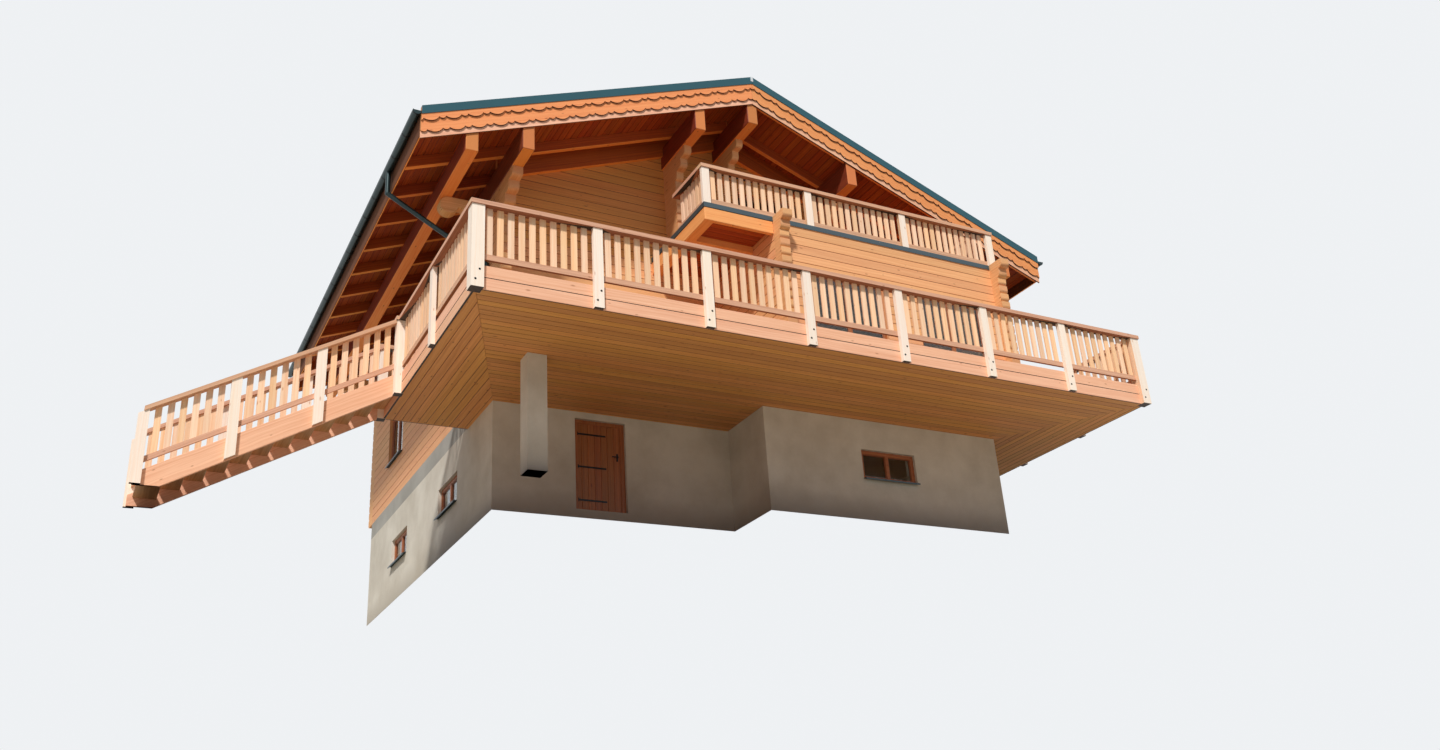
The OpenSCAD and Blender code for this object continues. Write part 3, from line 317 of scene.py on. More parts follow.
SOFFIT = timber("larch_soffit", (236, 172, 102), (208, 140, 76), (124, 62, 28), spread=0.22,
                knots=0.7, tint=(1.0, 0.93, 0.84))
SOFFIT_SEAM = timber("larch_soffit_seam", (160, 98, 48), (124, 68, 28), (80, 38, 14))
# Near-black painted shade for the faces that look down under the skirts and railings
PAINTED_SHADE_EDGE = timber("painted_shade_edge", (66, 48, 36), (44, 30, 22), (30, 20, 14))
DECK = timber("larch_deck", (206, 158, 112), (170, 120, 80), (110, 66, 38), spread=0.26)
DECK_SEAM = timber("larch_deck_seam", (96, 66, 42), (70, 46, 28), (50, 32, 18))
BEAM = timber("spruce_beam", (236, 146, 66), (208, 112, 44), (120, 52, 16), spread=0.2)
# Lit and shaded copies of the beam wood: painted shade for upright sides, painted bounce light for undersides
BEAM_PAINTED_SHADE = timber("spruce_beam_painted_shade", (150, 64, 24), (104, 36, 12), (60, 18, 6), spread=0.2)
BEAM_PAINTED_LIGHT = timber("spruce_beam_painted_light", (255, 172, 86), (244, 142, 58), (140, 66, 24), spread=0.1)
FASCIA = timber("eave_board", (108, 58, 24), (80, 40, 16), (54, 26, 10), roughness=0.95, spread=0.1)
BALCONY_BEAM = timber("balcony_beam", (255, 186, 116), (238, 156, 86), (150, 78, 34), spread=0.1)
BOARDING = timber("spruce_boarding", (190, 92, 34), (150, 62, 18), (84, 28, 6), spread=0.26)
BOARDING_SEAM = timber("spruce_boarding_seam", (136, 56, 20), (104, 38, 12), (60, 20, 6))
BARGE = timber("larch_bargeboard", (248, 168, 104), (226, 140, 80), (140, 68, 32), spread=0.14)
# Painted shade for the scalloped boards' lower edges
SCALLOP_PAINTED_SHADE = timber("larch_scallop_painted_shade", (84, 38, 14), (58, 24, 8), (40, 16, 6))
LOG = timber("larch_log", (244, 190, 132), (218, 156, 100), (130, 72, 36), spread=0.14)
STEP = timber("larch_step", (214, 166, 120), (180, 130, 88), (116, 70, 40), spread=0.24)
STAINED = timber("joinery_stain", (176, 104, 56), (140, 76, 36), (80, 36, 14), roughness=0.42, spread=0.12,
                 knots=0.3)
PALE_END = end_grain("end_grain_pale", (232, 196, 160), (196, 148, 108))
LOG_END = end_grain("end_grain_log", (240, 184, 132), (206, 146, 96))
PURLIN_END = end_grain("end_grain_purlin", (226, 144, 84), (188, 104, 52))
ORANGE_END = end_grain("end_grain_orange", (226, 150, 92), (188, 112, 64))
ROOF_METAL = sheet_metal("coated_steel", (42, 92, 104), (26, 64, 76))
ROOF_SHEET = sheet_metal("roof_steel", (70, 84, 92), (48, 60, 68))
BARE_METAL = sheet_metal("bare_steel", (222, 226, 228), (180, 186, 190), roughness=0.35, metallic=0.5)
STAINED_PLAIN = sheet_metal("bead_stain", (146, 82, 42), (116, 60, 28), roughness=0.45, metallic=0.0)
FLASHING_METAL = sheet_metal("flashing_steel", (80, 96, 104), (56, 70, 78))
GUTTER_METAL = sheet_metal("gutter_steel", (46, 64, 66), (28, 44, 48), roughness=0.30, metallic=0.5)
HARDWARE = sheet_metal("dark_hardware", (34, 34, 36), (22, 22, 24), roughness=0.36, metallic=0.6)
COAT = render_coat("mineral_render", (226, 221, 210), (200, 193, 180))
CONCRETE = render_coat("concrete", (176, 174, 168), (150, 148, 142), scale=0.7)
GLASS = clear_glass("window_glass")


# Meshes


def fresh(node):
    """A CAD node's mesh with shared corners and whole flat faces."""
    bm = bmesh.new()
    bm.from_mesh(NODES[node].data)
    bmesh.ops.remove_doubles(bm, verts=bm.verts, dist=1e-5)
    bmesh.ops.dissolve_limit(bm, angle_limit=0.01, verts=bm.verts, edges=bm.edges)
    bm.normal_update()
    return bm


def islands(bm):
    """The separate solids of a mesh, as lists of faces."""
    left = set(bm.faces)
    found = []
    for seed in bm.faces:
        if seed not in left:
            continue
        left.discard(seed)
        group, edge_of = [seed], [seed]
        while edge_of:
            face = edge_of.pop()
            for edge in face.edges:
                for other in edge.link_faces:
                    if other in left:
                        left.discard(other)
                        group.append(other)
                        edge_of.append(other)
        found.append(group)
    return found


def grooves(bm, facing, across, start, pitch, joint, only=None):
    """Cuts V-joints into the faces that look along facing, one each pitch across them, and marks
    the joints' own faces. It takes one field of boards only, where one is named."""
    facing, across = Vector(facing).normalized(), Vector(across).normalized()
    width, depth = joint
    seam = bm.faces.layers.int.get("seam") or bm.faces.layers.int.new("seam")
    field = bm.faces.layers.int.get("field")

    def chosen():
        return [face for face in bm.faces
                if face.normal.dot(facing) > 0.995 and (only is None or face[field] == only)]

    reach = [vert.co.dot(across) for face in chosen() for vert in face.verts]
    if not reach:
        return
    low, high = min(reach), max(reach)
    first = math.ceil((low + width - start) / pitch)
    last = math.floor((high - width - start) / pitch)
    places = [start + index * pitch for index in range(first, last + 1)]
    for place in places:
        for offset in (-width / 2, 0, width / 2):
            faces = chosen()
            geometry = faces + list({edge for face in faces for edge in face.edges})
            geometry += list({vert for face in faces for vert in face.verts})
            bmesh.ops.bisect_plane(bm, geom=geometry, dist=1e-6, plane_co=across * (place + offset),
                                   plane_no=across)
    moved = []
    for vert in {vert for face in chosen() for vert in face.verts}:
        step = (vert.co.dot(across) - start) / pitch
        if abs(step - round(step)) * pitch < 1e-4 and first <= round(step) <= last:
            vert.co -= facing * depth
            moved.append(vert)
    bm.normal_update()
    for face in {face for vert in moved for face in vert.link_faces}:
        if 0.2 < face.normal.dot(facing) < 0.95:
            face[seam] = 1


def longest_edge(face):
    edge = max(face.edges, key=lambda e: e.calc_length())
    return (edge.verts[1].co - edge.verts[0].co).normalized()


def find(parents, index):
    while parents[index] != index:
        parents[index] = parents[parents[index]]
        index = parents[index]
    return index


def grain(bm, along=None, board=None, choose=None):
    """Writes each face's grain map in metres and its board's tone. Faces square to the grain get
    the second material, marked joints the third, and choose picks it for the rest."""
    uv, tone = bm.loops.layers.uv.new("grain"), bm.loops.layers.uv.new("tone")
    bm.faces.index_update()
    seam = bm.faces.layers.int.get("seam")
    if along is not None:
        pick = along if callable(along) else lambda face: along
        run = [Vector(pick(face)).normalized() for face in bm.faces]
        ends = [abs(face.normal.dot(run[face.index])) > 0.7 for face in bm.faces]
    else:
        run = [longest_edge(face) for face in bm.faces]
        ends = []
        for face in bm.faces:
            around = [run[other.index] for edge in face.edges for other in edge.link_faces if other is not face]
            square = sum(abs(side.dot(face.normal)) > 0.9 for side in around)
            ends.append(face.calc_area() < 0.12 and square * 2 > len(around))
    parents = list(range(len(bm.faces)))
    for edge in bm.edges if board is None else ():
        if len(edge.link_faces) != 2:
            continue
        one, two = (face.index for face in edge.link_faces)
        if ends[one] or ends[two] or abs(run[one].dot(run[two])) < 0.99:
            continue
        side = (edge.verts[1].co - edge.verts[0].co).normalized()
        if along is not None or abs(side.dot(run[one])) > 0.99:
            parents[find(parents, one)] = find(parents, two)
    tones = {}
    for face in bm.faces:
        key = find(parents, face.index) if board is None else board(face)
        if key not in tones:
            tones[key] = (rng.random(), rng.random(), rng.uniform(0, 40), rng.uniform(0, 40))
        tint, hue, shift_u, shift_v = tones[key]
        face.material_index = 1 if ends[face.index] else choose(face, run[face.index]) if choose else 0
        if seam and face[seam]:
            face.material_index = 2
        if ends[face.index]:
            first = face.normal.orthogonal().normalized()
            middle = face.calc_center_median()
            shift_u, shift_v = -middle.dot(first), -middle.dot(face.normal.cross(first))
        else:
            first = run[face.index]
        second = face.normal.cross(first).normalized()
        for loop in face.loops:
            loop[uv].uv = (loop.vert.co.dot(first) + shift_u, loop.vert.co.dot(second) + shift_v)
            loop[tone].uv = (tint, hue)


def piece(name, bm, materials, bevel=0.0):
    """Makes an object of the mesh, which rides on the house. Its edges are rounded by bevel metres."""
    mesh = bpy.data.meshes.new(name)
    bm.to_mesh(mesh)
    bm.free()
    for material in materials:
        mesh.materials.append(material)
    made = bpy.data.objects.new(name, mesh)
    bpy.context.scene.collection.objects.link(made)
    if bevel:
        rounding = made.modifiers.new("rounding", "BEVEL")
        rounding.width = bevel
        rounding.segments = 1
        rounding.limit_method = "ANGLE"
        rounding.angle_limit = ROUNDED_FROM
        rounding.use_clamp_overlap = True
        closing = made.modifiers.new("closing", "WELD")
        closing.merge_threshold = WELD_GAP
    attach(made, "root")
    return made


def wood(node, looks, along=None, board=None, cuts=(), bevel=0.005, choose=None):
    """A CAD node's timber, with its grain, joints and softened edges. A solid that is longer
    from front to back than across is field 1, and the others are field 0."""
    bm = fresh(node)
    field = bm.faces.layers.int.new("field")
    for group in islands(bm):
        low, high = box_of(group)
        for face in group:
            face[field] = high.y - low.y > high.x - low.x
    for cut in cuts:
        grooves(bm, *cut)
    grain(bm, along, board, choose)
    made = piece(node + "_timber", bm, looks, bevel)
    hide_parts(node)
    return made


def coursed(across, start, pitch):
    """Numbers the boards or courses of a surface."""
    across = Vector(across).normalized()
    return lambda face: math.floor((face.calc_center_median().dot(across) - start) / pitch)


def box_of(faces):
    """The lowest and the highest corner of some faces."""
    places = [vert.co for face in faces for vert in face.verts]
    return [Vector([pick(place[axis] for place in places) for axis in range(3)]) for pick in (min, max)]


def sweep(bm, profile, start, end, up):
    """A straight bar of a closed profile, whose coordinates run to the side and up."""
    run = (end - start).normalized()
    side = run.cross(up).normalized()
    up = side.cross(run)
    rings = [[bm.verts.new(place + side * u + up * v) for u, v in profile] for place in (start, end)]
    for index in range(len(profile)):
        following = (index + 1) % len(profile)
        bm.faces.new((rings[0][index], rings[0][following], rings[1][following], rings[1][index]))
    bm.faces.new(rings[0][::-1])
    bm.faces.new(rings[1])


def slab(low_u, high_u, low_v, high_v):
    """A bar's oblong profile."""
    return [(low_u, low_v), (high_u, low_v), (high_u, high_v), (low_u, high_v)]


def round_profile(radius, count=12):
    """A bar's round profile, or a nut's with a count of six."""
    angles = [2 * math.pi * index / count for index in range(count)]
    return [(radius * math.cos(angle), radius * math.sin(angle)) for angle in angles]


def hoop(bm, centre, first, second, axis, radius, width, thick, start=0, stop=360, steps=24):
    """A band of sheet round a pipe or under a gutter, from one angle to another."""
    half = width / 2
    section = (radius, -half), (radius, half), (radius + thick, half), (radius + thick, -half)
    rows = []
    for index in range(steps + 1):
        angle = math.radians(start + (stop - start) * index / steps)
        out = first * math.cos(angle) + second * math.sin(angle)
        rows.append([bm.verts.new(centre + out * reach + axis * shift) for reach, shift in section])
    for one, two in zip(rows, rows[1:]):
        for index in range(4):
            following = (index + 1) % 4
            bm.faces.new((one[index], one[following], two[following], two[index]))
    bm.faces.new(rows[0][::-1])
    bm.faces.new(rows[-1])


def frame_ring(bm, low, high, out, inset, depth):
    """A ring of mitred beads inside a pane's outline, on the side that out points to."""
    axes = [axis for axis in range(3) if abs(out[axis]) < 0.5]
    flat = [axis for axis in range(3) if abs(out[axis]) > 0.5][0]
    face = high[flat] if out[flat] > 0 else low[flat]
    rows = []
    for shrink, lift in ((0, 0), (0, depth), (inset * 0.55, depth), (inset, depth * 0.35), (inset, 0)):
        row = []
        for one, two in ((0, 0), (1, 0), (1, 1), (0, 1)):
            place = Vector((0, 0, 0))
            place[flat] = face + out[flat] * lift
            for axis, far in zip(axes, (one, two)):
                place[axis] = high[axis] - shrink if far else low[axis] + shrink
            row.append(bm.verts.new(place))
        rows.append(row)
    for one, two in zip(rows, rows[1:] + rows[:1]):
        for index in range(4):
            following = (index + 1) % 4
            bm.faces.new((one[index], one[following], two[following], two[index]))


def detail(name, bm, material, node, bevel=0.0):
    """Makes a piece of hardware. The node that it sits on is not used."""
    bmesh.ops.recalc_face_normals(bm, faces=bm.faces)
    piece(name, bm, [material], bevel)


def both_sides(facing, *cut):
    """The same joints on the two faces of a wall or floor."""
    return [(facing, *cut), (-facing, *cut)]


def looks_down(face):
    return face.normal.z < -0.9


def undersides(under, side=0):
    """Picks one look for the faces that look down, another for the upright ones and else the first,
    by their places in the list of looks."""
    return lambda face, run: under if face.normal.z < -0.6 else side if abs(face.normal.z) < 0.6 else 0


# Walls, in courses

COURSES = coursed(Z, FLOOR_Z, COURSE_H)
for node, along in (("front_wall", X), ("back_wall", X), ("room_front_wall", X), ("front_gable", X),
                    ("back_gable", X), ("left_wall", Y), ("right_wall", Y), ("room_side_wall", Y)):
    out = Y if along is X else X
    looks = [GABLE, LOG_END, GABLE_SEAM] if "gable" in node else [WALL, LOG_END, WALL_SEAM]
    wood(node, looks, along, COURSES, both_sides(out, Z, FLOOR_Z, COURSE_H, WALL_JOINT), bevel=0)

LOG_BEVEL = 0.012
wood("log_ends", [LOG, LOG_END], Y, COURSES, bevel=LOG_BEVEL)
wood("purlin_corbels", [LOG, LOG_END], bevel=LOG_BEVEL)

# Terrace boards and railings

deck_low, deck_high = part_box("terrace_deck")
house_left, house_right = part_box("left_wall")[0].x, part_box("right_wall")[1].x


def mitred(node, looks, facing):
    """Boards along the house in front of it and away from the viewer beside it, with their mitres."""
    def crossed(face):
        place = face.calc_center_median()
        left, right = place.x - deck_low.x, deck_high.x - place.x
        strip = min(left / (house_left - deck_low.x), right / (deck_high.x - house_right))
        depth = (place.y - deck_low.y) / (HOUSE_Y - deck_low.y)
        return strip < min(depth, 1)

    def number(face):
        place = face.calc_center_median()
        beside = crossed(face)
        return beside, math.floor((place.x - deck_low.x if beside else place.y - deck_low.y) / PLANK_W)

    wood(node, looks, lambda face: Y if crossed(face) else X, number,
         [(facing, Y, deck_low.y, PLANK_W, BOARD_JOINT, 0), (facing, X, deck_low.x, PLANK_W, BOARD_JOINT, 1)],
         bevel=0)


mitred("terrace_soffit", [SOFFIT, SOFFIT, SOFFIT_SEAM], -Z)
mitred("terrace_deck", [DECK, PALE_END, DECK_SEAM], Z)
# The skirts' faces that look down get painted shade
wood("terrace_skirts", [SKIRT, PALE_END, PAINTED_SHADE_EDGE], bevel=0.006, choose=undersides(2))
wood("terrace_joists", [BEAM, ORANGE_END])

# A post's front is wider than this, and its sides are between the two widths below
RAILING = [BALUSTER, PALE_END, HANDRAIL, POST, PAINTED_SHADE_EDGE, RAIL_PAINTED_SHADE]
POST_FACE_FROM = 0.12
POST_SIDE = (0.06, 0.08)


def railing_look(face, run):
    """Balusters, posts and rails are told apart by direction and width."""
    if abs(run.z) < 0.7:
        # A rail's faces that look down get the painted shade
        return RAILING.index(RAIL_PAINTED_SHADE if looks_down(face) else HANDRAIL)
    width = face.calc_area() / max(edge.calc_length() for edge in face.edges)
    post = width > POST_FACE_FROM or POST_SIDE[0] < width < POST_SIDE[1]
    return RAILING.index(POST if post else BALUSTER)


for node in ("terrace_front_railing", "terrace_side_railings", "terrace_back_railings", "stair_railings",
             "balcony_front_railing", "balcony_side_railings"):
    made = wood(node, RAILING, bevel=0.006, choose=railing_look)
    # End faces of the railings that look down get painted shade
    for polygon in made.data.polygons:
        if polygon.material_index == RAILING.index(PALE_END) and looks_down(polygon):
            polygon.material_index = RAILING.index(PAINTED_SHADE_EDGE)
wood("stair_stringers", [SKIRT, PALE_END])
wood("stair_treads", [STEP, PALE_END], Y, bevel=0.01)

# Floors, balcony and roof timber

wood("attic_floor", [DECK, PALE_END, DECK_SEAM], Y, coursed(X, 0, PLANK_W),
     both_sides(Z, X, 0, PLANK_W, BOARD_JOINT), bevel=0)
wood("balcony_floor", [BOARDING, ORANGE_END, BOARDING_SEAM], X, coursed(Y, 0, PLANK_W),
     both_sides(Z, Y, 0, PLANK_W, BOARD_JOINT), bevel=0)
wood("balcony_edge_beams", [BALCONY_BEAM, ORANGE_END], bevel=0.008)
# The undersides of purlins, rafters and fascias get painted bounce light, and the purlins' upright sides get
# painted shade
wood("purlins", [BEAM, PURLIN_END, BEAM_PAINTED_LIGHT, BEAM_PAINTED_SHADE], Y, bevel=0.01, choose=undersides(2, 3))
wood("rafters", [BOARDING, ORANGE_END, BEAM_PAINTED_LIGHT], bevel=0.006, choose=undersides(2))
wood("eave_fascias", [FASCIA, ORANGE_END, BEAM_PAINTED_LIGHT], Y, choose=undersides(2))

slope_right = Vector((math.cos(PITCH), 0, -math.sin(PITCH)))
slope_left = Vector((-math.cos(PITCH), 0, -math.sin(PITCH)))
under_right = Vector((-math.sin(PITCH), 0, -math.cos(PITCH)))
under_left = Vector((math.sin(PITCH), 0, -math.cos(PITCH)))

# Each gable has three layers of boards, and the third from outside is straight
BARGEBOARD = [BARGE, ORANGE_END, SCALLOP_PAINTED_SHADE, SKIRT]
verge_layers = sorted({round(vert.co.y, 4) for vert in NODES["bargeboards"].data.vertices})
straight_faces = verge_layers[2], verge_layers[-3]


def down_slope(face):
    return slope_right if face.calc_center_median().x > HOUSE_X else slope_left


def scalloped(face, run):
    """The lower edges of the boards, dark with painted shade, and the paler board behind them."""
    if face.normal.z < -0.3 and abs(face.normal.y) < 0.5:
        return BARGEBOARD.index(SCALLOP_PAINTED_SHADE)
    straight = round(face.calc_center_median().y, 4) in straight_faces
    return BARGEBOARD.index(SKIRT if straight else BARGE)


def roof_board(face):
    """Numbers the boards under each slope from the ridge down."""
    across = face.calc_center_median().x - HOUSE_X
    return across > 0, math.floor(abs(across) / math.cos(PITCH) / PLANK_W)


wood("bargeboards", BARGEBOARD, down_slope, bevel=0.003, choose=scalloped)
wood("roof_boarding", [BOARDING, ORANGE_END, BOARDING_SEAM], Y, roof_board,
     [(under_right, slope_right, slope_right.x * HOUSE_X, PLANK_W, BOARD_JOINT),
      (under_left, slope_left, slope_left.x * HOUSE_X, PLANK_W, BOARD_JOINT)], bevel=0)

# Metal, masonry and glass keep their CAD shapes

for material, kept in ((ROOF_SHEET, ("roof_covering", "ridge_cap")), (ROOF_METAL, ("verge_flashings",)),
                       (FLASHING_METAL, ("balcony_flashing",)), (GUTTER_METAL, ("gutters_and_downpipes",)),
                       (COAT, ("basement_front_walls", "basement_back_wall", "basement_left_wall",
                               "basement_right_wall", "terrace_pillar")),
                       (CONCRETE, ("ground_slab", "main_floor")), (GLASS, ("window_panes",))):
    for node in kept:
        NODES[node].data.materials.clear()
        NODES[node].data.materials.append(material)

# Window frames and door leaves

wood("window_frames", [STAINED, STAINED], bevel=0.004)
wood("door_leaves", [STAINED, STAINED, STAINED], Z, coursed(X + Y, 0, DOOR_BOARD_W),
     both_sides(X, Y, 0, DOOR_BOARD_W, BOARD_JOINT) + both_sides(Y, X, 0, DOOR_BOARD_W, BOARD_JOINT), bevel=0)

# Standing seams of the roof, about ROOF_BAY apart and folded over to one side

ROOF_BAY = 0.55
SEAM = [(-0.002, -0.003), (0.002, -0.003), (0.002, 0.020), (0.008, 0.020), (0.009, 0.026), (-0.002, 0.026)]
SEAM_FROM_RIDGE = 0.13
SEAM_FROM_EDGE = 0.02
roof_low, roof_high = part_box("roof_covering")
ridge_z = roof_high.z
bays = round((roof_high.y - roof_low.y) / ROOF_BAY)
bm = bmesh.new()
for slope, end_x in ((slope_left, roof_low.x + SEAM_FROM_EDGE), (slope_right, roof_high.x - SEAM_FROM_EDGE)):
    up = Vector((math.copysign(math.sin(PITCH), slope.x), 0, math.cos(PITCH)))
    top = Vector((HOUSE_X, 0, ridge_z)) + slope * SEAM_FROM_RIDGE
    foot = Vector((HOUSE_X, 0, ridge_z)) + slope * abs(end_x - HOUSE_X) / math.cos(PITCH)
    for index in range(1, bays):
        y = roof_low.y + (roof_high.y - roof_low.y) * index / bays
        sweep(bm, SEAM, Vector((top.x, y, top.z)), Vector((foot.x, y, foot.z)), up)
detail("roof_seams", bm, ROOF_SHEET, "roof_covering")

# Gutter brackets, joints and rolled rims, and the clips of the downpipes. The outer brackets are
# set in, and the joints shifted, by a share of the gutter's length

GUTTER_R = 0.075
BRACKET_BAYS = 16
BRACKET_INSET = 0.0015
BRACKET_W = 0.028
STRAP_T = 0.003
GUTTER_LENGTHS = 5
JOINT_SHIFT = 0.03
JOINT_W = 0.07
JOINT_T = 0.0015
RIM_R = 0.008
RIM_INSET = 0.009
PIPE_R = 0.045
CLIP_HEIGHTS = (0.35, 1.35)
CLIP_W = 0.03
EAR = 0.012
EAR_HALF_T = 0.004
pipes_low, pipes_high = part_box("gutters_and_downpipes")
pipe_places = [vert.co for vert in NODES["gutters_and_downpipes"].data.vertices]
rims_z = {}
brackets, rims, clips = bmesh.new(), bmesh.new(), bmesh.new()
for out, edge in ((-1, pipes_low.x), (1, pipes_high.x)):
    middle = edge - out * GUTTER_R
    run = pipes_high.y - pipes_low.y
    rim_z = rims_z[out] = max(place.z for place in pipe_places if place.x * out > 0)
    for index in range(BRACKET_BAYS + 1):
        share = min(max(index / BRACKET_BAYS, BRACKET_INSET), 1 - BRACKET_INSET)
        centre = Vector((middle, pipes_low.y + run * share, rim_z))
        hoop(brackets, centre, X * out, Z, Y, GUTTER_R, BRACKET_W, STRAP_T, 180, 342)
    for index in range(1, GUTTER_LENGTHS):
        centre = Vector((middle, pipes_low.y + run * (index / GUTTER_LENGTHS + JOINT_SHIFT), rim_z))
        hoop(rims, centre, X * out, Z, Y, GUTTER_R, JOINT_W, JOINT_T, 180, 348)
    rim = Vector((edge - out * RIM_INSET, 0, rim_z))
    sweep(rims, round_profile(RIM_R), rim + Y * pipes_low.y, rim + Y * pipes_high.y, Z)
    foot = [place for place in pipe_places if place.z < pipes_low.z + 1e-4 and place.x * out > 0]
    centre = sum(foot, Vector()) / len(foot)
    for height in CLIP_HEIGHTS:
        place = Vector((centre.x, centre.y, pipes_low.z + height))
        hoop(clips, place, X, Y, Z, PIPE_R, CLIP_W, STRAP_T)
        for side in (-1, 1):
            ear = place + Y * side * (PIPE_R + EAR)
            sweep(clips, slab(-EAR, EAR, -EAR, EAR), ear - X * EAR_HALF_T, ear + X * EAR_HALF_T, Z)
detail("gutter_brackets", brackets, HARDWARE, "gutters_and_downpipes")
detail("gutter_rims", rims, GUTTER_METAL, "gutters_and_downpipes")
detail("downpipe_clips", clips, HARDWARE, "gutters_and_downpipes")

# Drip sheets from the roof's edge into the gutters

DRIP_INSET = 0.03
DRIP_BELOW_RIM = 0.03
bm = bmesh.new()
for out, edge in ((-1, roof_low.x), (1, roof_high.x)):
    top_z = ridge_z - abs(edge - HOUSE_X) * math.tan(PITCH)
    drop = rims_z[out] - DRIP_BELOW_RIM - top_z
    sheet = [(-0.004, 0.001), (0.004, 0.001), (0.004, drop), (0.002, drop), (0.002, -0.003), (-0.004, -0.001)]
    start = Vector((edge, roof_low.y + DRIP_INSET, top_z))
    end = Vector((edge, roof_high.y - DRIP_INSET, top_z))
    turned = out * (1 if (end - start).cross(Z).x > 0 else -1)
    sweep(bm, [(u * turned, v) for u, v in sheet], start, end, Z)
detail("drip_sheets", bm, ROOF_SHEET, "roof_covering")

# The folded end of the ridge, two strips of bare metal side by side

FOLD_APART = 0.014
FOLD_HALF_W = 0.013
FOLD_HALF_T = 0.002
FOLD_BELOW_TOP = 0.11
FOLD_H = 0.105
verge_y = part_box("verge_flashings")[0].y
bm = bmesh.new()
for shift in (-FOLD_APART, FOLD_APART):
    foot = Vector((HOUSE_X + shift, verge_y - FOLD_HALF_T, cad_box[1][2] - FOLD_BELOW_TOP))
    sweep(bm, slab(-FOLD_HALF_W, FOLD_HALF_W, -FOLD_HALF_T, FOLD_HALF_T), foot, foot + Z * FOLD_H, Y)
detail("ridge_end", bm, BARE_METAL, "ridge_cap", 0.001)

# Bolts through the posts into the terrace's outer boards, each with its share of their height
# and its shift from the post's middle

BOLTS = ((0.3, -0.03), (0.72, 0.03))
WASHER_R = 0.017
WASHER_IN = 0.001
WASHER_OUT = 0.003
NUT_R = 0.010
NUT_OUT = 0.010
POST_AREA_FROM = 0.1
skirt_low, skirt_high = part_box("terrace_skirts")
posts = fresh("terrace_front_railing")
bm = bmesh.new()
for face in posts.faces:
    post = railing_look(face, longest_edge(face)) == RAILING.index(POST)
    if face.normal.y < -0.99 and post and face.calc_area() > POST_AREA_FROM:
        for share, side in BOLTS:
            place = face.calc_center_median() + X * side
            place.z = skirt_low.z + (skirt_high.z - skirt_low.z) * share
            sweep(bm, round_profile(WASHER_R, 14), place + Y * WASHER_IN, place - Y * WASHER_OUT, Z)
            sweep(bm, round_profile(NUT_R, 6), place - Y * WASHER_OUT, place - Y * NUT_OUT, Z)
posts.free()
detail("post_bolts", bm, HARDWARE, "terrace_front_railing", 0.0012)

# Glazing beads, handles and sills of the windows, handles and hinges of the doors

BEAD_W = 0.018
BEAD_H = 0.012
SILL = [(0, 0.028), (0, 0.025), (0.13, 0.003), (0.13, -0.025), (0.133, -0.025), (0.133, 0.006)]
PLATE = slab(-0.015, 0.015, -0.07, 0.07)
PLATE_T = 0.008
NECK_R = 0.009
NECK_OUT = 0.045
LEVER_R = 0.010
LEVER_BACK = 0.008
LEVER_REACH = 0.11
FRAME_HANDLE_Z = 1.05
DOOR_HANDLE_Z = 1.02
DOOR_HANDLE_INSET = 0.07

# Frames lower than these have a sill, and a lever that lies level and is shorter
SILL_BELOW = 1.6
LEVEL_BELOW = 0.8
LEVEL_SHARE = 0.6

# Hinges, at shares of the leaf's height, that reach over a share of its half width
HINGE = slab(-0.016, 0.016, 0, 0.005)
HINGE_SHARES = (0.12, 0.5, 0.88)
HINGE_INSET = 0.004
HINGE_REACH = 1.3
PIN_R = 0.011
PIN_HALF_H = 0.03
PIN_OUT = 0.006
HOUSE_MIDDLE = Vector((HOUSE_X, (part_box("front_wall")[0].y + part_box("back_wall")[1].y) / 2, 0))


def level_axes(low, high):
    """The axes through a frame or leaf and along it."""
    return (X, Y) if high.x - low.x < high.y - low.y else (Y, X)


def away(place, through):
    """The side of a frame or leaf that looks away from the house."""
    return through if (place - HOUSE_MIDDLE).dot(through) > 0 else -through


def lever(bm, place, out, along):
    """A back plate with a lever that points along the leaf."""
    neck = place + out * NECK_OUT
    sweep(bm, PLATE, place, place + out * PLATE_T, Z)
    sweep(bm, round_profile(NECK_R), place, neck, Z)
    sweep(bm, round_profile(LEVER_R), neck - along * LEVER_BACK, neck + along * LEVER_REACH, Z)


beads, handles, sills, hinges = bmesh.new(), bmesh.new(), bmesh.new(), bmesh.new()
panes = fresh("window_panes")
for group in islands(panes):
    low, high = box_of(group)
    through, wide = level_axes(low, high)
    for out in (through, -through):
        frame_ring(beads, low, high, out, BEAD_W, BEAD_H)
panes.free()

frames = fresh("window_frames")
for group in islands(frames):
    low, high = box_of(group)
    middle = (low + high) / 2
    through, wide = level_axes(low, high)
    out = away(middle, through)
    deep, tall = abs((high - low).dot(through)), high.z - low.z
    inner = Vector((middle.x, middle.y, min(middle.z, low.z + FRAME_HANDLE_Z))) - out * deep / 2
    lever(handles, inner, -out, wide * LEVEL_SHARE if tall < LEVEL_BELOW else -Z)
    if tall < SILL_BELOW:
        half = abs((high - low).dot(wide)) / 2
        outer = Vector((middle.x, middle.y, low.z)) + out * deep / 2
        start, end = outer - wide * half, outer + wide * half
        turned = 1 if (end - start).cross(Z).dot(out) > 0 else -1
        sweep(sills, [(u * turned, v) for u, v in SILL], start, end, Z)
frames.free()

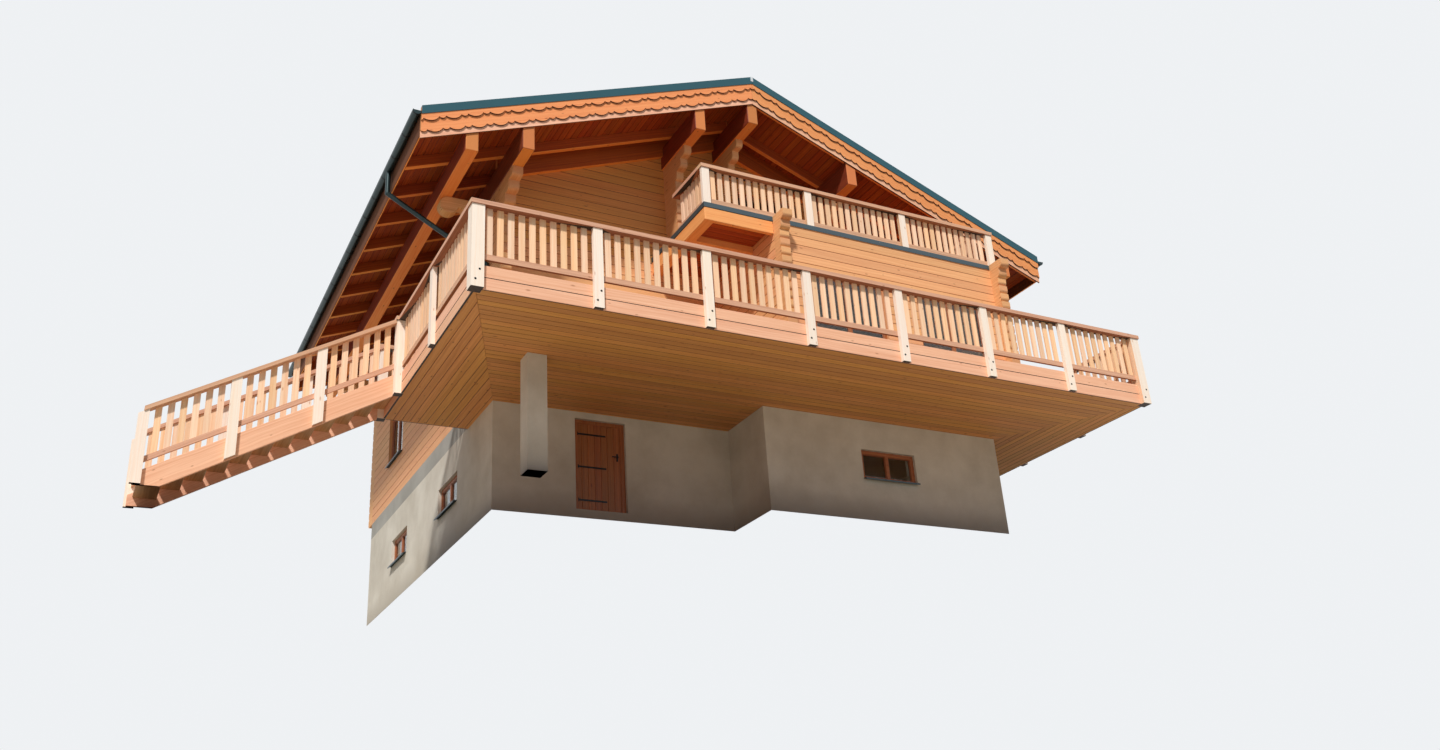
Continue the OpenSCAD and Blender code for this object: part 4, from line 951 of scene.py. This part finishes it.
leaves = fresh("door_leaves")
for group in islands(leaves):
    low, high = box_of(group)
    middle = (low + high) / 2
    through, wide = level_axes(low, high)
    half_deep, half_wide = abs((high - low).dot(through)) / 2, abs((high - low).dot(wide)) / 2
    for out in (through, -through):
        place = Vector((middle.x, middle.y, low.z + DOOR_HANDLE_Z)) + out * half_deep
        lever(handles, place + wide * (half_wide - DOOR_HANDLE_INSET), out, -wide)
    out = away(middle, through)
    for share in HINGE_SHARES:
        place = Vector((middle.x, middle.y, low.z + (high.z - low.z) * share)) + out * half_deep
        start = place - wide * (half_wide - HINGE_INSET)
        sweep(hinges, HINGE, start, start + wide * half_wide * HINGE_REACH, out)
        pin = start + out * PIN_OUT
        sweep(hinges, round_profile(PIN_R), pin - Z * PIN_HALF_H, pin + Z * PIN_HALF_H, X + Y)
leaves.free()
detail("glazing_beads", beads, STAINED_PLAIN, "window_frames")
detail("window_sills", sills, FLASHING_METAL, "window_frames")
detail("lever_handles", handles, HARDWARE, "window_frames", 0.001)
detail("door_hinges", hinges, HARDWARE, "door_leaves", 0.0008)

# Stage, seen from above only, so that the view from below the ground shows the house

BACKDROP = (0.86, 0.88, 0.90, 1)


def seen_rays(tree):
    """One where the ray comes from the camera, a gloss or glass, and otherwise zero."""
    rays = tree.nodes.new("ShaderNodeLightPath")
    total = rays.outputs["Is Camera Ray"]
    for kind in ("Is Transmission Ray", "Is Glossy Ray"):
        either = tree.nodes.new("ShaderNodeMath")
        either.operation = "MAXIMUM"
        tree.links.new(total, either.inputs[0])
        tree.links.new(rays.outputs[kind], either.inputs[1])
        total = either.outputs[0]
    return total


def stage_piece(name, quads, height, material):
    bm = bmesh.new()
    for (x0, y0), (x1, y1) in quads:
        bm.faces.new([bm.verts.new((x, y, height)) for x, y in ((x0, y0), (x1, y0), (x1, y1), (x0, y1))])
    mesh = bpy.data.meshes.new(name)
    bm.to_mesh(mesh)
    bm.free()
    mesh.materials.append(material)
    made = bpy.data.objects.new(name, mesh)
    bpy.context.scene.collection.objects.link(made)


def below_shader(s, under):
    """The surface from above, and another shader from below."""
    choice = s.node("ShaderNodeMixShader")
    s.link(s.node("ShaderNodeNewGeometry").outputs["Backfacing"], choice.inputs[0])
    s.link(s.surface.outputs[0], choice.inputs[1])
    s.link(under, choice.inputs[2])
    s.link(choice.outputs[0], s.tree.nodes["Material Output"].inputs["Surface"])


FLOOR_REACH = 45.0
FOOTPRINT_Z = -0.003

# The floor looks pale, and lights the house from below as warmer and darker ground would
s = Shader("stage_pale", 0.9)
seen = s.mix(s.noise(s.place(), 0.4), linear(226, 226, 224), linear(232, 232, 230))
s.paint(s.mix(seen_rays(s.tree), linear(172, 164, 146), seen))
below_shader(s, s.node("ShaderNodeBsdfTransparent").outputs[0])
stage_piece("stage_floor", [((-FLOOR_REACH, -FLOOR_REACH), (FLOOR_REACH, FLOOR_REACH))], 0.0, s.material)

# The ground under the footings looks like the backdrop from below
s = Shader("stage_under", 0.9)
glow = s.node("ShaderNodeEmission")
s.put(BACKDROP, glow.inputs["Color"])
s.paint(s.mix(s.noise(s.place(), 0.4), linear(168, 160, 142), linear(176, 168, 150)))
below_shader(s, glow.outputs[0])
left_low, left_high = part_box("basement_left_wall")
right_low, right_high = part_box("basement_right_wall")
room_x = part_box("room_side_wall")[0].x
stage_piece("stage_footprint", [((left_low.x, left_low.y), (room_x, left_high.y)),
                                ((room_x, right_low.y), (right_high.x, right_high.y))], FOOTPRINT_Z, s.material)

# Light and camera

SUN_WAY = (0.47, 0.62, -0.80)
SKY = (0.80, 0.88, 1.0, 1)
SKY_STRENGTH = 0.34
sun = bpy.data.lights.new("key", "SUN")
sun.energy = 3.4
sun.angle = math.radians(5)
sun.color = (1.0, 0.965, 0.91)
key = bpy.data.objects.new("key", sun)
key.rotation_euler = Vector(SUN_WAY).to_track_quat("-Z", "Y").to_euler()
bpy.context.scene.collection.objects.link(key)

world = bpy.data.worlds.new("studio")
bpy.context.scene.world = world
world.use_nodes = True
tree = world.node_tree
fill = tree.nodes["Background"]
fill.inputs["Color"].default_value = SKY
fill.inputs["Strength"].default_value = SKY_STRENGTH
backdrop = tree.nodes.new("ShaderNodeBackground")
backdrop.inputs["Color"].default_value = BACKDROP
backdrop.inputs["Strength"].default_value = 1.0
choice = tree.nodes.new("ShaderNodeMixShader")
tree.links.new(seen_rays(tree), choice.inputs[0])
tree.links.new(fill.outputs[0], choice.inputs[1])
tree.links.new(backdrop.outputs[0], choice.inputs[2])
tree.links.new(choice.outputs[0], tree.nodes["World Output"].inputs["Surface"])

camera_data = bpy.data.cameras.new("camera")
camera_data.sensor_fit = "HORIZONTAL"
camera_data.sensor_width = SENSOR_WIDTH
camera_data.lens = FOCAL_PIXELS / IMAGE_WIDTH * SENSOR_WIDTH
camera_data.clip_end = 400
camera = bpy.data.objects.new("camera", camera_data)
right, down, ahead = Vector(CAMERA_RIGHT), Vector(CAMERA_DOWN), Vector(CAMERA_AHEAD)
turn = Matrix((right, -down, -ahead)).transposed().to_4x4()
camera.matrix_world = Matrix.Translation(Vector(CAMERA_PLACE) + Vector((HOUSE_X, HOUSE_Y, 0))) @ turn
bpy.context.scene.collection.objects.link(camera)
bpy.context.scene.camera = camera
bpy.context.scene.view_settings.view_transform = "Standard"
